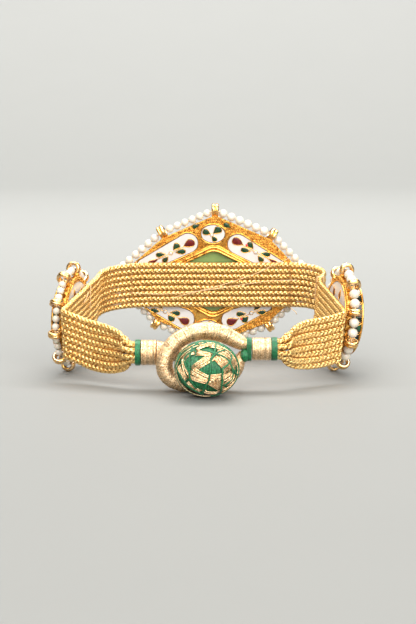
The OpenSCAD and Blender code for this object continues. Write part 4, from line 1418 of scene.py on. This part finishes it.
class BRACELET_OT_lozenge_front(bpy.types.Operator):
    """Sets the stones of the lozenge medallion's front in foil and grains"""

    bl_idname = "bracelet.lozenge_front"
    bl_label = "Set the lozenge's stones"

    def execute(self, context):
        s = settings("bracelet_medallion")
        rng = np.random.default_rng(61)
        grain = s.grain_d / MM
        dress("foiled stone", "main_front_stones")
        o = Ornament("main", False)
        cups = [(cup_outline(q), 1.1) for q in QUARTERS]
        cups += [(circle((0, side * DISC_CUP[0]), DISC_CUP[1]), 1.1) for side in (-1, 1)]
        cups += [(circle((a * TOP_CUP[0], b * TOP_CUP[1]), TOP_CUP[2]), 0.7) for a, b in QUARTERS]
        cups += [(circle((side * SIDE_CUP[0], 0), SIDE_CUP[1]), 0.7) for side in (-1, 1)]
        for outline, front in cups:
            o.wire(outline + 0.03 * unit(outline - outline.mean(0)), front, 0.34)
        for edge, grow, depth, thick in FRONT_RIMS:
            o.wire(lozenge(edge, grow), depth, thick)
        plate = np.array(MAIN_PLATE, float)
        keep_off = [(outline, 0.62) for outline, _ in cups] + [(lozenge(FRAME_OUT), 0.2)]

        def keep(spots):
            return (past_edge(spots, plate) < -0.12) & clear_of(spots, keep_off)

        o.grains(scattered((25, 17), grain * 0.95, keep, rng), PLATE_FRONT - 0.04, grain, rng)
        o.make("lozenge_front")
        return {"FINISHED"}


# Flower on a round medallion's back: reach, length and width of its leaves and of
# its buds, reach of three points of a stem and radius of its heart
FLOWER_LEAF, FLOWER_BUD = (3.1, 2.5, 1.4), (6.3, 2.3, 1.5)
FLOWER_STEM, FLOWER_HEART = [[1.4], [3.4], [5.1]], 1.2


class BRACELET_OT_round_medallions(bpy.types.Operator):
    """Enamels, grains and sets the two round medallions"""

    bl_idname = "bracelet.round_medallions"
    bl_label = "Finish the round medallions"

    def execute(self, context):
        s = settings("bracelet_medallion")
        line, grain = s.outline_d / MM, s.grain_d / MM
        for n, side in enumerate(("left", "right")):
            rng = np.random.default_rng(71 + n)
            dress("polished gold", f"{side}_frame")
            dress("white enamel", f"{side}_back_enamel")
            dress("drum enamel", f"{side}_green_band")
            dress("foiled stone", f"{side}_front_stones")
            self.back(side, line, grain, rng)
            self.front(side, grain, rng)
        return {"FINISHED"}

    def back(self, side, line, grain, rng):
        """A flower of leaves and buds on the white back, inside a grained rim."""
        o = Ornament(side, True)
        for i in range(PETALS):
            way = i * 360 / PETALS
            between = way + 180 / PETALS
            for turn, tip, (reach, *size), finish in [
                (way, way + 180, FLOWER_LEAF, "leaf enamel"), (between, between, FLOWER_BUD, "bud enamel"),
            ]:
                o.cell(leaf(heading(turn) * reach, tip, *size), PICTURE, finish, line)
            stem = np.column_stack([heading(between) * FLOWER_STEM, np.zeros(3)])
            o.wire(smooth(stem, 4)[:, :2], PICTURE, line, sides=5, closed=False)
        o.cell(circle((0, 0), FLOWER_HEART, 20), PICTURE, "bud enamel", line, 0.2)
        o.wire(circle((0, 0), DRUM_R + 0.2, 72), PLATE_BACK - 0.14, 0.36)
        ring = polar(np.arange(0, 2 * np.pi, grain / SIDE_PLATE_R))
        for r in (DRUM_R + 0.62, DRUM_R + 1.05):
            o.grains(ring * r, PLATE_BACK + 0.04, grain, rng)
        o.rings(*side_rings(side))
        o.make(f"{side}_back_ornament")

    def front(self, side, grain, rng):
        """Rims of the drum, gold leaves round it, and foil and grains between its stones."""
        o = Ornament(side, False)
        top = DRUM_FRONT[side]
        o.wire(circle((0, 0), DRUM_R - 0.02, 72), top - 0.2, 0.5)
        o.wire(circle((0, 0), DRUM_R + 0.06, 72), PLATE_FRONT + 0.14, 0.4)
        self.drum_leaves(o, top)
        stones = [circle((0, 0), SIDE_STONE_R)]
        for i in range(PETALS):
            angle = 2 * math.pi * i / PETALS
            stones.append(circle((PETAL_AT * math.cos(angle), PETAL_AT * math.sin(angle)), PETAL_R))
        for outline in stones:
            o.wire(outline + 0.12 * unit(outline - outline.mean(0)), top + 0.04, 0.3)

        def keep(spots):
            inside = np.linalg.norm(spots, axis=1) < DRUM_R - 0.5
            return inside & clear_of(spots, [(outline, 0.42) for outline in stones])

        o.grains(scattered((9, 9), grain * 0.95, keep, rng), top - 0.04, grain, rng)
        o.make(f"{side}_front_ornament")

    def drum_leaves(self, o, top):
        """A wavy gold line round the drum that parts its green into leaves."""
        waves, depth_from, depth_to = 22, PLATE_FRONT + 0.35, top - 0.45
        angle = np.linspace(0, 2 * np.pi, waves * 12, endpoint=False)
        depth = (depth_from + depth_to) / 2 + (depth_to - depth_from) / 2 * np.cos(waves * angle)
        r = DRUM_R + 0.02
        points = np.column_stack([r * np.cos(angle), depth, r * np.sin(angle)])
        o.add(*tube(points, 0.09, unit(points * (1, 0, 1)), 5, closed=True))


class BRACELET_OT_pearls(bpy.types.Operator):
    """Gives the pearls their lustre and their thread its colour"""

    bl_idname = "bracelet.pearls"
    bl_label = "Finish the pearls"

    def execute(self, context):
        for medallion in PLACES:
            dress("pearl lustre", f"{medallion}_pearls")
            dress("sewing thread", f"{medallion}_pearl_thread")
        return {"FINISHED"}


def area_light(name, at, aim, power, size, colour=(1, 1, 1)):
    """A soft square light that faces its aim."""
    data = bpy.data.lights.new(name, "AREA")
    data.energy, data.size, data.color = power, size, colour
    obj = bpy.data.objects.new(name, data)
    obj.location = at
    obj.rotation_euler = (Vector(aim) - Vector(at)).to_track_quat("-Z", "Y").to_euler()
    bpy.context.scene.collection.objects.link(obj)


class BRACELET_OT_stage(bpy.types.Operator):
    """Lays the floor and sets the light and the camera"""

    bl_idname = "bracelet.stage"
    bl_label = "Set the stage"

    def execute(self, context):
        s = settings("bracelet_stage")
        self.floor()
        self.light()
        aim = Vector(s.aim)
        data = bpy.data.cameras.new("Camera")
        data.lens, data.sensor_width, data.sensor_fit = s.lens, 36, "AUTO"
        data.clip_start = 0.01
        camera = bpy.data.objects.new("Camera", data)
        camera.location = aim + s.distance * Vector((0, -math.cos(s.elevation), math.sin(s.elevation)))
        camera.rotation_euler = (aim - camera.location).to_track_quat("-Z", "Y").to_euler()
        context.scene.collection.objects.link(camera)
        context.scene.camera = camera
        context.scene.view_settings.view_transform = "Standard"
        return {"FINISHED"}

    def floor(self):
        """A round paper floor that curves up far behind the bracelet."""
        reach, bend, height, sides = 0.9, 0.5, 2.2, 96
        profile = [(0.3, 0.0), (0.6, 0.0), (reach, 0.0)]
        profile += [(reach + bend * math.sin(turn), bend * (1 - math.cos(turn)))
                    for turn in np.radians(range(10, 91, 10))]
        profile.append((reach + bend, height))
        rings = [np.column_stack([r * polar(turns(sides)), np.full(sides, z)]) for r, z in profile]
        points = np.vstack(rings + [[[0, 0, 0]]])
        quads = ring_faces(len(rings), sides)[0][:, ::-1]
        middle = fan(len(points) - 1, 0, sides)
        mesh = bpy.data.meshes.new("Floor")
        mesh.from_pydata(points.tolist(), [], quads.tolist() + middle.tolist())
        mesh.polygons.foreach_set("use_smooth", [True] * len(mesh.polygons))
        mesh.materials.append(material("floor"))
        floor = bpy.data.objects.new("Floor", mesh)
        bpy.context.scene.collection.objects.link(floor)

    def light(self):
        """A warm sky, soft lights from the upper left, front, top and right, and one for the backdrop."""
        world = bpy.data.worlds.new("Studio")
        world.use_nodes = True
        background = world.node_tree.nodes["Background"]
        background.inputs["Color"].default_value = (1.0, 0.93, 0.82, 1)
        background.inputs["Strength"].default_value = 0.48
        bpy.context.scene.world = world
        aim = (0, 0, 0.015)
        area_light("Key", (-0.30, -0.40, 0.65), aim, power=5.8, size=0.6, colour=(1.0, 0.98, 0.95))
        area_light("Front", (0.08, -0.80, 0.42), aim, power=10.0, size=0.8)
        area_light("Top", (0.1, 0.15, 0.75), aim, power=4.0, size=0.6)
        area_light("Fill", (0.45, -0.55, 0.4), aim, power=5.0, size=0.6, colour=(1.0, 0.98, 0.93))
        area_light("Backdrop", (0, 0.62, 1.05), (0, 1.40, 0.25), power=50.0, size=1.3)


class BRACELET_PT_panel(bpy.types.Panel):
    """Lists the bracelet's pieces and their settings"""

    bl_label = "Kundan bracelet"
    bl_idname = "BRACELET_PT_panel"
    bl_space_type = "VIEW_3D"
    bl_region_type = "UI"
    bl_category = "Bracelet"

    def draw(self, context):
        for name, group in GROUPS.items():
            box = self.layout.box()
            for key in group.__annotations__:
                box.prop(getattr(context.scene, name), key)
        for operator in OPERATORS:
            self.layout.operator(operator.bl_idname)


GROUPS = {
    "bracelet_strap": StrapSettings,
    "bracelet_clasp": ClaspSettings,
    "bracelet_medallion": MedallionSettings,
    "bracelet_stage": StageSettings,
}
OPERATORS = [
    BRACELET_OT_stage, BRACELET_OT_cords, BRACELET_OT_stitches, BRACELET_OT_sleeves, BRACELET_OT_loop,
    BRACELET_OT_ball, BRACELET_OT_lozenge_back, BRACELET_OT_lozenge_front, BRACELET_OT_round_medallions,
    BRACELET_OT_pearls,
]


def register():
    """Registers the settings, the operators and the panel."""
    for cls in [*GROUPS.values(), *OPERATORS, BRACELET_PT_panel]:
        bpy.utils.register_class(cls)
    for name, group in GROUPS.items():
        setattr(bpy.types.Scene, name, bpy.props.PointerProperty(type=group))


def unregister():
    """Takes away what register added."""
    for name in GROUPS:
        delattr(bpy.types.Scene, name)
    for cls in reversed([*GROUPS.values(), *OPERATORS, BRACELET_PT_panel]):
        bpy.utils.unregister_class(cls)


def main():
    """Dresses the frame piece by piece."""
    register()
    bpy.ops.bracelet.stage()
    bpy.ops.bracelet.cords()
    bpy.ops.bracelet.stitches()
    bpy.ops.bracelet.sleeves()
    bpy.ops.bracelet.loop()
    bpy.ops.bracelet.ball()
    bpy.ops.bracelet.lozenge_back()
    bpy.ops.bracelet.lozenge_front()
    bpy.ops.bracelet.round_medallions()
    bpy.ops.bracelet.pearls()


if __name__ == "__main__":
    main()
